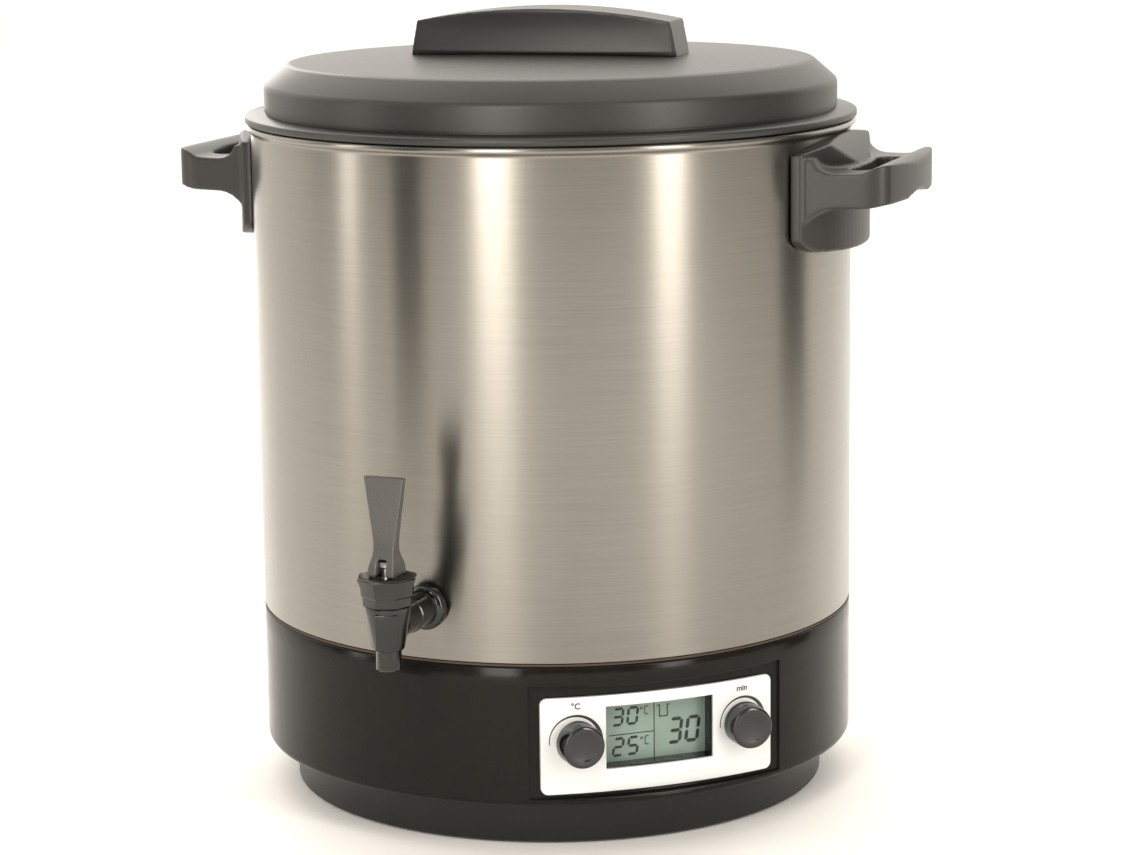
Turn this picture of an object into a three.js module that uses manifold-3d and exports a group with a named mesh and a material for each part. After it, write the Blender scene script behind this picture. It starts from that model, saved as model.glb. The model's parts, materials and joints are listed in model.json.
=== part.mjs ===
// Yogurt maker: a lidded steel vessel on a plastic heater base, with a dispensing tap and a control panel.
// Millimetres, +Z up. The origin is on the vessel's axis at floor level, the side handles lie along X,
// and -Y is the front. Pieces on the side of the body are drawn in a local frame whose -Y points outwards
// and are turned about Z by their azimuth, which is measured from -Y towards +X.
import * as THREE from 'three';
import { mergeVertices } from 'three/addons/utils/BufferGeometryUtils.js';
import Module from 'manifold-3d';

const wasm = await Module();
wasm.setup();

// Driving dimensions
const GAP = 0.3; // clearance left between pieces that touch
const BODY_R = 180; // outside radius of the vessel wall and of the base
const BODY_SIDES = 48; // facets round the large turned pieces
const WALL = 1.2; // vessel sheet
const SEAM_Z = 111; // where the vessel meets the base
const FLOOR_TOP = 116.2; // vessel floor, wet side
const FLOOR_UNDER = 115; // vessel floor, heated side
const RIM_TOP = 403.5; // top of the rolled rim
const RIM_R = 182.9;
const LIP_Z = 404; // underside of the lid's lip
const CROWN_Z = 442; // middle of the lid
const LID_TOP_R = 157; // edge of the lid's gently domed top
const LID_TOP_Z = 438.3;
const LID_WALL = 3;
const PLINTH_R = 163;
const PLINTH_TOP = 27.7;
const HOUSING_BOTTOM = 28;
const HOUSING_TOP = 109.9;
const HOUSING_WALL = 3;
const DECK_R = 132; // inner edge of the deck that carries the vessel
const DECK_UNDER = 107;
const PANEL_AZ = 36;
const TAP_AZ = -8;
const HANDLE_AZ = 86; // the right handle; the left one is opposite it

const RAD = Math.PI / 180;
const looks = {
  steel: look(0xb9b3a4, 0.3, 1),
  bright: look(0xc9c9c6, 0.25, 1),
  lid: look(0x5a5853, 0.5),
  base: look(0x1f1d1b, 0.15),
  plinth: look(0x3a3834, 0.4),
  white: look(0xf2f2f0, 0.3),
  knob: look(0x15141a, 0.15),
  tap: look(0x161514, 0.12),
  lever: look(0x4a4946, 0.4),
  rubber: look(0x222222, 0.8),
  silicone: look(0x9a6a4c, 0.6),
  clear: look(0xdfe6e4, 0.05),
  display: look(0x8fa39a, 0.3),
  board: look(0x2d6b3c, 0.5),
  component: look(0x2b2b2d, 0.5),
  aluminium: look(0xc4c6c8, 0.35, 1),
  brass: look(0xb8954a, 0.35, 1),
};

function look(color, roughness, metalness = 0) {
  return new THREE.MeshStandardMaterial({ color, roughness, metalness });
}

// ---- Solids -------------------------------------------------------------------------------------------

// A closed outline revolved about Z. Points are [radius, height], anticlockwise, and one that starts on
// the axis ends on it.
function turned(points, sides) {
  const outline = points.map(([r, z]) => new THREE.Vector2(r, z));
  if (points[0][0] > 0) outline.push(outline[0].clone());
  return new THREE.LatheGeometry(outline, sides).rotateX(Math.PI / 2);
}

// The same about the local outward axis: points are [radius, distance out].
function turnedOut(points, sides) {
  return turned(points, sides).rotateX(Math.PI / 2);
}

function extruded(shape, depth, curveSegments) {
  return new THREE.ExtrudeGeometry(shape, { depth, bevelEnabled: false, curveSegments });
}

// A plan shape, in x and y, from one height to another.
function upright(shape, z0, z1, curveSegments = 6) {
  return extruded(shape, z1 - z0, curveSegments).translate(0, 0, z0);
}

// A front view, in x and z, from one distance out to another.
function outward(shape, w0, w1, curveSegments = 6) {
  return extruded(shape, w1 - w0, curveSegments).rotateX(Math.PI / 2).translate(0, -w0, 0);
}

// A side view, in distance out and z, across a width centred on x = 0.
function across(shape, width, curveSegments = 6) {
  const solid = extruded(shape, width, curveSegments);
  return solid.rotateX(Math.PI / 2).rotateZ(-Math.PI / 2).translate(width / 2, 0, 0);
}

function post(x, y, z0, z1, radius, sides) {
  const pin = new THREE.CylinderGeometry(radius, radius, z1 - z0, sides);
  return pin.rotateX(Math.PI / 2).translate(x, y, (z0 + z1) / 2);
}

// A cylinder along the local outward axis.
function peg(x, z, w0, w1, radius, sides) {
  return new THREE.CylinderGeometry(radius, radius, w1 - w0, sides).translate(x, -(w0 + w1) / 2, z);
}

// A box from one corner to the other, each [x, distance out, z].
function block([x0, w0, z0], [x1, w1, z1]) {
  const box = new THREE.BoxGeometry(x1 - x0, w1 - w0, z1 - z0);
  return box.translate((x0 + x1) / 2, -(w0 + w1) / 2, (z0 + z1) / 2);
}

function outline(points) {
  return new THREE.Shape(points.map(([x, y]) => new THREE.Vector2(x, y)));
}

function roundedRectangle(x0, z0, x1, z1, r) {
  const shape = new THREE.Shape();
  shape.absarc(x1 - r, z0 + r, r, -Math.PI / 2, 0, false);
  shape.absarc(x1 - r, z1 - r, r, 0, Math.PI / 2, false);
  shape.absarc(x0 + r, z1 - r, r, Math.PI / 2, Math.PI, false);
  shape.absarc(x0 + r, z0 + r, r, Math.PI, Math.PI * 1.5, false);
  shape.closePath();
  return shape;
}

// The plan of a curved strip: a ring sector about [0, centreY], facing -Y, half its angle either side.
function strip(centreY, inner, outer, half) {
  const start = -Math.PI / 2 - half;
  const end = -Math.PI / 2 + half;
  const shape = new THREE.Shape();
  shape.absarc(0, centreY, outer, start, end, false);
  shape.absarc(0, centreY, inner, end, start, true);
  shape.closePath();
  return shape;
}

// ---- Joining and cutting ------------------------------------------------------------------------------

function toSolid(geometry) {
  const bare = geometry.clone();
  bare.deleteAttribute('normal');
  bare.deleteAttribute('uv');
  const merged = mergeVertices(bare, 1e-3);
  const index = merged.index.array;
  const triangles = [];
  for (let i = 0; i < index.length; i += 3) {
    const [a, b, c] = [index[i], index[i + 1], index[i + 2]];
    if (a !== b && b !== c && c !== a) triangles.push(a, b, c);
  }
  return new wasm.Manifold(new wasm.Mesh({
    numProp: 3,
    vertProperties: new Float32Array(merged.attributes.position.array),
    triVerts: new Uint32Array(triangles),
  }));
}

function toGeometry(solid) {
  const mesh = solid.getMesh();
  const geometry = new THREE.BufferGeometry();
  geometry.setAttribute('position', new THREE.BufferAttribute(new Float32Array(mesh.vertProperties), 3));
  geometry.setIndex(new THREE.BufferAttribute(new Uint32Array(mesh.triVerts), 1));
  return geometry;
}

function cut(geometry, tools) {
  return toGeometry(tools.reduce((solid, tool) => solid.subtract(toSolid(tool)), toSolid(geometry)));
}

function join(geometries) {
  return toGeometry(geometries.map(toSolid).reduce((sum, solid) => sum.add(solid)));
}

function common(a, b) {
  return toGeometry(toSolid(a).intersect(toSolid(b)));
}

function place(parent, name, geometry, material) {
  const mesh = new THREE.Mesh(geometry, material);
  mesh.name = name;
  parent.add(mesh);
  return mesh;
}

function turnedGroup(parent, azimuth) {
  const group = new THREE.Group();
  group.rotation.z = azimuth * RAD;
  parent.add(group);
  return group;
}

const yogurtMaker = new THREE.Group();

// ---- Side handles: positions that the vessel's holes need ---------------------------------------------

const HANDLE_SCREW_AZ = 12; // either side of the handle's middle
const HANDLE_SCREW_Z = 350;
const HANDLE_SCREW_R = 2.5;
const SCREW_SIDES = 8;

// ---- Tap: positions that the vessel's hole needs ------------------------------------------------------

const TAP_Z = 143;
const TAP_W = 230; // distance of the tap's upright axis from the vessel's axis
const SHANK_R = 8;

// ---- Vessel -------------------------------------------------------------------------------------------

const CLAMP_R = 160; // circle of the screws that clamp the base to the vessel
const CLAMP_AZ = [-54, 126, 216];
const CLAMP_SCREW_R = 2.2;

function vesselWall() {
  const inner = BODY_R - WALL;
  const profile = [
    [0, FLOOR_UNDER], [170, FLOOR_UNDER], [174.5, SEAM_Z + 0.7], [179.2, SEAM_Z + 0.7],
    [BODY_R, SEAM_Z + 1.5], [BODY_R, 397.5], [RIM_R, 399], [RIM_R, RIM_TOP - 1], [RIM_R - 1, RIM_TOP],
    [inner, RIM_TOP], [inner, 120], [inner - 5, FLOOR_TOP], [0, FLOOR_TOP],
  ];
  return turned(profile, BODY_SIDES);
}

function vessel() {
  const atClamp = (az, z0, z1, radius) => post(0, -CLAMP_R, z0, z1, radius, SCREW_SIDES).rotateZ(az * RAD);
  const bosses = CLAMP_AZ.map((az) => atClamp(az, HOUSING_TOP + GAP, FLOOR_UNDER + 0.6, 5.5));
  const holes = CLAMP_AZ.map((az) => atClamp(az, HOUSING_TOP, FLOOR_UNDER - 0.2, CLAMP_SCREW_R + GAP));
  for (const side of [HANDLE_AZ - 180, HANDLE_AZ]) {
    for (const step of [-HANDLE_SCREW_AZ, HANDLE_SCREW_AZ]) {
      holes.push(peg(0, HANDLE_SCREW_Z, 170, 190, HANDLE_SCREW_R + GAP, SCREW_SIDES)
        .rotateZ((side + step) * RAD));
    }
  }
  holes.push(peg(0, TAP_Z, 165, 195, SHANK_R + 0.4, 16).rotateZ(TAP_AZ * RAD));
  return cut(join([vesselWall(), ...bosses]), holes);
}
place(yogurtMaker, 'pot', vessel(), looks.steel);

// ---- Lid ----------------------------------------------------------------------------------------------

const DRUM_R = 171.6;
const DRUM_TOP = 425.4;
const LIP_R = 183.3;
const SKIRT_R = 177.4; // locating skirt inside the vessel
const LID_SCREW_X = 50;
const LID_SCREW_R = 2.1;

function domeZ(r) {
  return CROWN_Z - (CROWN_Z - LID_TOP_Z) * (r / LID_TOP_R) ** 2;
}

function lidShell() {
  const dome = [90, 0].map((r) => [r, domeZ(r)]);
  const under = [0, 90].map((r) => [r, domeZ(r) - LID_WALL]);
  const profile = [
    ...under, [LID_TOP_R - 1.5, LID_TOP_Z - LID_WALL], [DRUM_R - LID_WALL, DRUM_TOP - 1.6],
    [DRUM_R - LID_WALL, LIP_Z + 1.2], [SKIRT_R - 2.4, LIP_Z + 1.2], [SKIRT_R - 2.4, 393.5],
    [SKIRT_R, 393.5], [SKIRT_R, LIP_Z], [LIP_R, LIP_Z], [LIP_R, 407.2], [LIP_R - 1, 408.1],
    [DRUM_R + 1, 408.4], [DRUM_R, 409.4], [DRUM_R, DRUM_TOP], [LID_TOP_R, LID_TOP_Z], ...dome,
  ];
  const holes = [-1, 1].map((s) => post(s * LID_SCREW_X, 0, 430, 445, LID_SCREW_R + GAP, SCREW_SIDES));
  return cut(turned(profile, BODY_SIDES), holes);
}
place(yogurtMaker, 'lid_shell', lidShell(), looks.lid);

const LID_BAR_HALF = 82; // half the bar's length at its foot
const LID_BAR_TOP_HALF = 78;
const LID_BAR_END_Z = 461.5;
const LID_BAR_MID_Z = 469;
const LID_BAR_END_W = 17.5; // half widths in plan
const LID_BAR_MID_W = 21.5;

// The bar's front view: drafted ends under an arched top.
function barFront(inset) {
  const top = LID_BAR_TOP_HALF - inset;
  const shape = new THREE.Shape();
  shape.moveTo(-LID_BAR_HALF + inset, 436);
  shape.lineTo(LID_BAR_HALF - inset, 436);
  shape.lineTo(LID_BAR_HALF - inset, 441);
  shape.lineTo(top, LID_BAR_END_Z - inset);
  shape.quadraticCurveTo(0, 2 * LID_BAR_MID_Z - LID_BAR_END_Z - inset, -top, LID_BAR_END_Z - inset);
  shape.lineTo(-LID_BAR_HALF + inset, 441);
  return shape;
}

// The bar's plan: a lens with blunt ends.
function barPlan(inset) {
  const half = LID_BAR_HALF - inset;
  const end = LID_BAR_END_W - inset;
  const bulge = 2 * LID_BAR_MID_W - LID_BAR_END_W - inset;
  const shape = new THREE.Shape();
  shape.moveTo(half - 3, -end);
  shape.quadraticCurveTo(half, -end, half, -end + 3);
  shape.lineTo(half, end - 3);
  shape.quadraticCurveTo(half, end, half - 3, end);
  shape.quadraticCurveTo(0, bulge, -half + 3, end);
  shape.quadraticCurveTo(-half, end, -half, end - 3);
  shape.lineTo(-half, -end + 3);
  shape.quadraticCurveTo(-half, -end, -half + 3, -end);
  shape.quadraticCurveTo(0, -bulge, half - 3, -end);
  return shape;
}

function lidBar() {
  const bar = common(outward(barFront(0), -30, 30, 8), upright(barPlan(0), 430, 475, 6));
  const pocket = common(outward(barFront(3), -30, 30, 6), upright(barPlan(3), 430, 475, 5));
  const bosses = [-1, 1].map((s) => post(s * LID_SCREW_X, 0, 436, 464, 5, SCREW_SIDES));
  const holes = [-1, 1].map((s) => post(s * LID_SCREW_X, 0, 435, 456, LID_SCREW_R + GAP, SCREW_SIDES));
  const seat = turned([[0, 425], [90, 425], [90, domeZ(90) + GAP], [0, domeZ(0) + GAP]], BODY_SIDES);
  return cut(join([cut(bar, [pocket]), ...bosses]), [...holes, seat]);
}
place(yogurtMaker, 'lid_handle', lidBar(), looks.lid);

// A pan-head screw, head down, with its axis along Z and its head's seat at z = 0.
function screw(shankR, headR, headHeight, length) {
  return turned([
    [0, -headHeight], [headR * 0.7, -headHeight], [headR, -headHeight * 0.45], [headR, 0], [shankR, 0],
    [shankR, length], [0, length],
  ], SCREW_SIDES);
}

for (const [i, s] of [-1, 1].entries()) {
  const seat = domeZ(LID_SCREW_X) - LID_WALL - 0.45;
  const geometry = screw(LID_SCREW_R, 4.5, 2.6, 17);
  const mesh = place(yogurtMaker, `lid_handle_screw_${i + 1}`, geometry, looks.bright);
  mesh.position.set(s * LID_SCREW_X, 0, seat);
}

// ---- Side handles -------------------------------------------------------------------------------------

const PLATE_HALF = 67;
const PLATE_MID_W = 193.5; // outer face of the back plate at its middle
const PLATE_CURVE = 124.9; // plan radius of the plate's outer face
const PLATE_TOP = 390; // of the plate's ends; it is arched between them
const ARM_BOTTOM = 360.3;
const ARM_TOP = 380.2;
const GRIP_W = 228; // outer face of the grip
const GRIP_BOTTOM = 362.5;
const GRIP_TOP = 385;
const GRIP_HALF = 50;
const ROOT_HALF = 65.5; // where the loop's arms start, inside the plate
const ROOT_R = 184;

// Plan of the back plate, hugging the vessel.
function platePlan() {
  const half = Math.asin(PLATE_HALF / (BODY_R + 2 * GAP));
  const bow = Math.asin((PLATE_HALF + 0.1) / PLATE_CURVE);
  const centre = -(PLATE_MID_W - PLATE_CURVE);
  const shape = new THREE.Shape();
  shape.absarc(0, centre, PLATE_CURVE, -Math.PI / 2 - bow, -Math.PI / 2 + bow, false);
  shape.absarc(0, 0, BODY_R + 2 * GAP, -Math.PI / 2 + half, -Math.PI / 2 - half, true);
  return shape;
}

// Front view of the back plate: an arched top and a rounded bottom.
function plateFront() {
  const shape = new THREE.Shape();
  shape.moveTo(-PLATE_HALF - 3, PLATE_TOP);
  shape.lineTo(-PLATE_HALF - 3, 346);
  shape.quadraticCurveTo(-PLATE_HALF + 2, 336, -PLATE_HALF + 14, 334);
  shape.quadraticCurveTo(0, 330, PLATE_HALF - 14, 334);
  shape.quadraticCurveTo(PLATE_HALF - 2, 336, PLATE_HALF + 3, 346);
  shape.lineTo(PLATE_HALF + 3, PLATE_TOP);
  shape.quadraticCurveTo(0, PLATE_TOP + 16, -PLATE_HALF - 3, PLATE_TOP);
  return shape;
}

// Side view of the back plate: its face leans in to the arched top.
function plateSide() {
  const shape = new THREE.Shape();
  shape.moveTo(150, 325);
  shape.lineTo(195, 325);
  shape.lineTo(195, PLATE_TOP - 10);
  shape.quadraticCurveTo(192, PLATE_TOP + 3, 181, PLATE_TOP + 9);
  shape.lineTo(150, PLATE_TOP + 12);
  return shape;
}

// Plan of the loop: arms that draw in slightly to a rounded grip.
function loopPlan() {
  const half = Math.asin(GRIP_HALF / GRIP_W);
  const root = Math.asin(ROOT_HALF / ROOT_R);
  const shape = new THREE.Shape();
  shape.moveTo(-ROOT_HALF, -Math.sqrt(ROOT_R ** 2 - ROOT_HALF ** 2));
  shape.lineTo(-60, -208);
  shape.quadraticCurveTo(-58, -221, -GRIP_HALF, -Math.cos(half) * GRIP_W);
  shape.absarc(0, 0, GRIP_W, -Math.PI / 2 - half, -Math.PI / 2 + half, false);
  shape.quadraticCurveTo(58, -221, 60, -208);
  shape.lineTo(ROOT_HALF, -Math.sqrt(ROOT_R ** 2 - ROOT_HALF ** 2));
  shape.absarc(0, 0, ROOT_R, -Math.PI / 2 + root, -Math.PI / 2 - root, true);
  return shape;
}

// Side view of the loop: fillets at the plate, level arms, and a grip raised above them.
function loopSide() {
  const shape = new THREE.Shape();
  shape.moveTo(171, 342);
  shape.quadraticCurveTo(177, ARM_BOTTOM, 194, ARM_BOTTOM);
  shape.lineTo(208, ARM_BOTTOM);
  shape.quadraticCurveTo(215.5, ARM_BOTTOM + 0.5, 220, GRIP_BOTTOM);
  shape.lineTo(225, GRIP_BOTTOM);
  shape.quadraticCurveTo(GRIP_W + 1, GRIP_BOTTOM, GRIP_W + 1, GRIP_BOTTOM + 4);
  shape.lineTo(GRIP_W + 1, GRIP_TOP - 6);
  shape.quadraticCurveTo(GRIP_W, GRIP_TOP, 221, GRIP_TOP);
  shape.quadraticCurveTo(215.5, GRIP_TOP, 209.5, ARM_TOP + 0.8);
  shape.quadraticCurveTo(205, ARM_TOP, 199, ARM_TOP);
  shape.lineTo(194, ARM_TOP);
  shape.quadraticCurveTo(182, ARM_TOP, 180, PLATE_TOP - 0.5);
  shape.lineTo(172, PLATE_TOP - 0.5);
  return shape;
}

// Plan of the finger hole: a curved slot.
function slotPlan() {
  const middle = 203.75;
  const r = 8.25;
  const half = 8.5 * RAD;
  const shape = new THREE.Shape();
  const down = -Math.PI / 2;
  const [cx, cy] = [Math.sin(half) * middle, -Math.cos(half) * middle];
  shape.absarc(0, 0, middle + r, down - half, down + half, false);
  shape.absarc(cx, cy, r, down + half, down + half + Math.PI, false);
  shape.absarc(0, 0, middle - r, down + half, down - half, true);
  shape.absarc(-cx, cy, r, down - half - Math.PI, down - half, false);
  return shape;
}

// Underside recess where the fingertips close round the grip.
function gripNotch() {
  return outward(outline([[-26, 355], [26, 355], [26, 362], [21, 366], [-21, 366], [-26, 362]]), 219, 235);
}

function sideHandle() {
  const front = common(upright(platePlan(), 325, 405, 6), outward(plateFront(), 150, 200, 4));
  const plate = common(front, across(plateSide(), 150, 3));
  const loop = common(upright(loopPlan(), 335, 392, 4), across(loopSide(), 150, 3));
  const holes = [-1, 1].map((s) => peg(0, HANDLE_SCREW_Z, 170, 188.6, HANDLE_SCREW_R + GAP, SCREW_SIDES)
    .rotateZ(s * HANDLE_SCREW_AZ * RAD));
  return cut(join([plate, loop]), [upright(slotPlan(), 330, 400, 3), gripNotch(), ...holes]);
}

for (const [name, azimuth] of [['left', HANDLE_AZ - 180], ['right', HANDLE_AZ]]) {
  place(turnedGroup(yogurtMaker, azimuth), `handle_${name}`, sideHandle(), looks.lid);
  for (const [i, s] of [-1, 1].entries()) {
    const group = turnedGroup(yogurtMaker, azimuth + s * HANDLE_SCREW_AZ);
    const geometry = screw(HANDLE_SCREW_R, 5.5, 3, 10).rotateX(Math.PI / 2);
    const mesh = place(group, `handle_${name}_screw_${i + 1}`, geometry, looks.bright);
    mesh.position.set(0, -(BODY_R - WALL - 0.6), HANDLE_SCREW_Z);
  }
}

// ---- Base housing -------------------------------------------------------------------------------------

const PLATE_R = 290; // plan radius of the panel plate's face
const PLATE_W = 173.2; // the face's distance from the axis at its middle
const PANEL_HALF = 71;
const PANEL_Z = [34.5, 91];
const PANEL_T = 2;
const RECESS_HALF = 77.5;
const RECESS_Z = [32, 98];
const WINDOW_X = [-34, 32];
const WINDOW_Z = [47.5, 84.5];
const KNOB_X = 51.5;
const KNOB_Z = 65.5;
const FOOT_R = 140; // circle of the feet and of the screw posts above them
const FOOT_AZ = [-9, 81, 171, 261];
const BOARD_FRONT = 150; // the control board's face, as a distance out
const BOARD_POSTS = [[-66, 38], [66, 93]]; // x and z of the two posts that carry the control board
const INLET_Z = 58;

const plateCentreY = PLATE_R - PLATE_W;

function trayPlan(radius, half) {
  const bow = Math.asin(half / radius);
  const shape = new THREE.Shape();
  shape.moveTo(-half, -200);
  shape.lineTo(half, -200);
  shape.absarc(0, plateCentreY, radius, -Math.PI / 2 + bow, -Math.PI / 2 - bow, true);
  return shape;
}

function housingShell() {
  const inner = BODY_R - HOUSING_WALL;
  return turned([
    [PLINTH_R + 1, HOUSING_BOTTOM], [176.5, HOUSING_BOTTOM], [179.2, HOUSING_BOTTOM + 0.9],
    [BODY_R, HOUSING_BOTTOM + 3], [BODY_R, HOUSING_TOP - 1], [BODY_R - 0.9, HOUSING_TOP],
    [DECK_R, HOUSING_TOP], [DECK_R, DECK_UNDER], [inner - 1.5, DECK_UNDER], [inner, DECK_UNDER - 1.5],
    [inner, HOUSING_BOTTOM + 4], [inner - 1.5, HOUSING_BOTTOM + 2.6], [PLINTH_R + 1, HOUSING_BOTTOM + 2.6],
  ], BODY_SIDES);
}

// The recess for the panel: a tray behind the wall, with a tunnel in front of the display.
function recessTray() {
  const outer = turned([[0, 29.5], [BODY_R - 0.6, 29.5], [BODY_R - 0.6, 101], [0, 101]], BODY_SIDES);
  const slab = upright(trayPlan(PLATE_R - PANEL_T - GAP - 2.5, RECESS_HALF + 2.5), 29.5, 101, 6);
  const rim = 2.5;
  const low = [WINDOW_X[0] - rim, 159, WINDOW_Z[0] - rim];
  const tunnel = block(low, [WINDOW_X[1] + rim, 170, WINDOW_Z[1] + rim]);
  const posts = BOARD_POSTS.map(([x, z]) => peg(x, z, BOARD_FRONT + GAP, 161.5, 3.2, 10));
  return join([common(slab, outer.rotateZ(-PANEL_AZ * RAD)), tunnel, ...posts]);
}

function recessCuts() {
  const pocket = upright(trayPlan(PLATE_R - PANEL_T - GAP, RECESS_HALF), RECESS_Z[0], RECESS_Z[1], 6);
  const window = block([WINDOW_X[0], 150, WINDOW_Z[0]], [WINDOW_X[1], 190, WINDOW_Z[1]]);
  const shafts = [-KNOB_X, KNOB_X].map((x) => peg(x, KNOB_Z, 150, 190, 4.2, 10));
  const pilots = BOARD_POSTS.map(([x, z]) => peg(x, z, 145, 158.5, 1.5, 8));
  return [pocket, window, ...shafts, ...pilots];
}

function footPost(az, z0, z1, radius, sides) {
  return post(0, -FOOT_R, z0, z1, radius, sides).rotateZ(az * RAD);
}

// The clamp screws pass up through the deck, and the pan's screws up into long posts under it.
function baseHousing() {
  const inPanelFrame = (geometry) => geometry.rotateZ(PANEL_AZ * RAD);
  const posts = FOOT_AZ.map((az) => footPost(az, 9.8, DECK_UNDER + 1, 5, 8));
  const pilots = FOOT_AZ.map((az) => footPost(az, 5, 33, 2.4, SCREW_SIDES));
  const clampHoles = CLAMP_AZ.map((az) => post(0, -CLAMP_R, 100, 115, CLAMP_SCREW_R + GAP, SCREW_SIDES)
    .rotateZ(az * RAD));
  // The strip of wall in front of the tray goes before the tray is added, so that its floor stays whole.
  const wallGap = inPanelFrame(upright(trayPlan(PLATE_R - PANEL_T - GAP - 1, RECESS_HALF), ...RECESS_Z, 6));
  const shell = cut(housingShell(), [wallGap]);
  const inlet = block([-14.3, 150, INLET_Z - 11.3], [14.3, 190, INLET_Z + 11.3]).rotateZ(Math.PI);
  const cuts = [...recessCuts().map(inPanelFrame), ...pilots, ...clampHoles, inlet];
  return cut(join([shell, inPanelFrame(recessTray()), ...posts]), cuts);
}
place(yogurtMaker, 'base_housing', baseHousing(), looks.base);

// A flat silicone ring under the vessel's corner, seen as a thin line at the seam.
function seamRing() {
  return turned([[174.8, 110.2], [179.7, 110.2], [179.7, 111.4], [174.8, 111.4]], BODY_SIDES);
}
place(yogurtMaker, 'seam_gasket', seamRing(), looks.silicone);

for (const [i, az] of CLAMP_AZ.entries()) {
  const mesh = place(turnedGroup(yogurtMaker, az), `clamp_screw_${i + 1}`,
    screw(CLAMP_SCREW_R, 4.5, 2.6, 8.6), looks.bright);
  mesh.position.set(0, -CLAMP_R, DECK_UNDER - 1.5 - 2 * GAP);
}

// ---- Base pan and feet --------------------------------------------------------------------------------

const PAN_FLOOR = [7, 9.5];
const PAD_R = 36; // a shallow round pad in the middle of the underside
const PAD_Z = 3;
const FOOT_RADIUS = 12;

function basePan() {
  const inner = PLINTH_R - 2.6;
  const shell = turned([
    [0, PAD_Z], [PAD_R, PAD_Z], [PAD_R + 4, PAN_FLOOR[0]], [inner, PAN_FLOOR[0]], [inner, 1.5],
    [PLINTH_R - 1.2, 1.5], [PLINTH_R, 24], [PLINTH_R, PLINTH_TOP], [inner + 1, PLINTH_TOP],
    [inner, PAN_FLOOR[1] + 2], [inner - 2, PAN_FLOOR[1]], [PAD_R + 3, PAN_FLOOR[1]],
    [PAD_R - 1, PAD_Z + 2.5], [0, PAD_Z + 2.5],
  ], BODY_SIDES);
  const holes = FOOT_AZ.map((az) => footPost(az, 5, 12, 2.5, SCREW_SIDES));
  return cut(join([shell, ...boardStuds()]), holes);
}

function boardStuds() {
  const studs = [];
  for (const x of [-38, 38]) {
    for (const y of [66, 114]) studs.push(post(x, y, PAN_FLOOR[1] - 1, 17.7, 3.5, 8));
  }
  return studs;
}
place(yogurtMaker, 'base_pan', basePan(), looks.plinth);

function rubberFoot() {
  return turned([
    [4.8, 0], [FOOT_RADIUS - 1.5, 0], [FOOT_RADIUS, 1.5], [FOOT_RADIUS, PAN_FLOOR[0] - GAP],
    [2.5, PAN_FLOOR[0] - GAP], [2.5, 4], [4.8, 4],
  ], 12);
}

for (const [i, az] of FOOT_AZ.entries()) {
  const group = turnedGroup(yogurtMaker, az);
  const foot = place(group, `foot_${i + 1}`, rubberFoot(), looks.rubber);
  foot.position.set(0, -FOOT_R, 0);
  const mesh = place(group, `pan_screw_${i + 1}`, screw(2.1, 4.3, 2.4, 28), looks.bright);
  mesh.position.set(0, -FOOT_R, 3.7);
}

// ---- Control panel ------------------------------------------------------------------------------------

const panel = turnedGroup(yogurtMaker, PANEL_AZ);
const LENS_W = [160, 161.5];
const SHAFT_R = 3;
const KNOB_R = 12.7;
const KNOB_W = [171.1, 184.2];

function panelFascia() {
  const half = Math.asin(PANEL_HALF / PLATE_R) + 0.01;
  const sheet = upright(strip(plateCentreY, PLATE_R - PANEL_T, PLATE_R, half), 30, 95, 7);
  const face = outward(roundedRectangle(-PANEL_HALF, PANEL_Z[0], PANEL_HALF, PANEL_Z[1], 4), 150, 180, 2);
  const window = block([WINDOW_X[0], 150, WINDOW_Z[0]], [WINDOW_X[1], 190, WINDOW_Z[1]]);
  const shafts = [-KNOB_X, KNOB_X].map((x) => peg(x, KNOB_Z, 150, 190, 4.2, 10));
  return cut(common(sheet, face), [window, ...shafts]);
}
place(panel, 'panel_fascia', panelFascia(), looks.white);

place(panel, 'display_window', block([WINDOW_X[0] + GAP, LENS_W[0], WINDOW_Z[0] + GAP],
  [WINDOW_X[1] - GAP, LENS_W[1], WINDOW_Z[1] - GAP]), looks.clear);
place(panel, 'lcd_module', block([WINDOW_X[0] - 4, BOARD_FRONT + GAP, WINDOW_Z[0] - 4],
  [WINDOW_X[1] + 4, 158.7, WINDOW_Z[1] + 4]), looks.display);

function controlBoard() {
  const board = block([-74, BOARD_FRONT - 1.6, 34], [74, BOARD_FRONT, 97]);
  return cut(board, BOARD_POSTS.map(([x, z]) => peg(x, z, 140, 160, 1.8, 8)));
}
place(panel, 'control_board', controlBoard(), looks.board);

for (const [i, [x, z]] of BOARD_POSTS.entries()) {
  const geometry = screw(1.2, 2.6, 1.6, 8).rotateX(Math.PI / 2);
  const mesh = place(panel, `board_screw_${i + 1}`, geometry, looks.bright);
  mesh.position.set(x, -(BOARD_FRONT - 1.6 - GAP), z);
}

function potentiometer() {
  return cut(turnedOut([[0, BOARD_FRONT + GAP], [8, BOARD_FRONT + GAP], [8, 157], [7, 158], [0, 158]], 16),
    [peg(0, 0, 153, 160, SHAFT_R + GAP, 12)]);
}

function spindle() {
  return turnedOut([[0, 153.3], [SHAFT_R, 153.3], [SHAFT_R, 179], [SHAFT_R - 0.6, 179.6], [0, 179.6]], 12);
}

function knob() {
  return turnedOut([
    [SHAFT_R + GAP, KNOB_W[0]], [KNOB_R - 0.2, KNOB_W[0]], [KNOB_R, KNOB_W[0] + 0.4],
    [KNOB_R - 0.4, KNOB_W[1] - 1.4], [KNOB_R - 1.6, KNOB_W[1]], [KNOB_R - 4, KNOB_W[1] - 0.5],
    [0, KNOB_W[1] - 1], [0, 180], [SHAFT_R + GAP, 180],
  ], 18);
}

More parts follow.
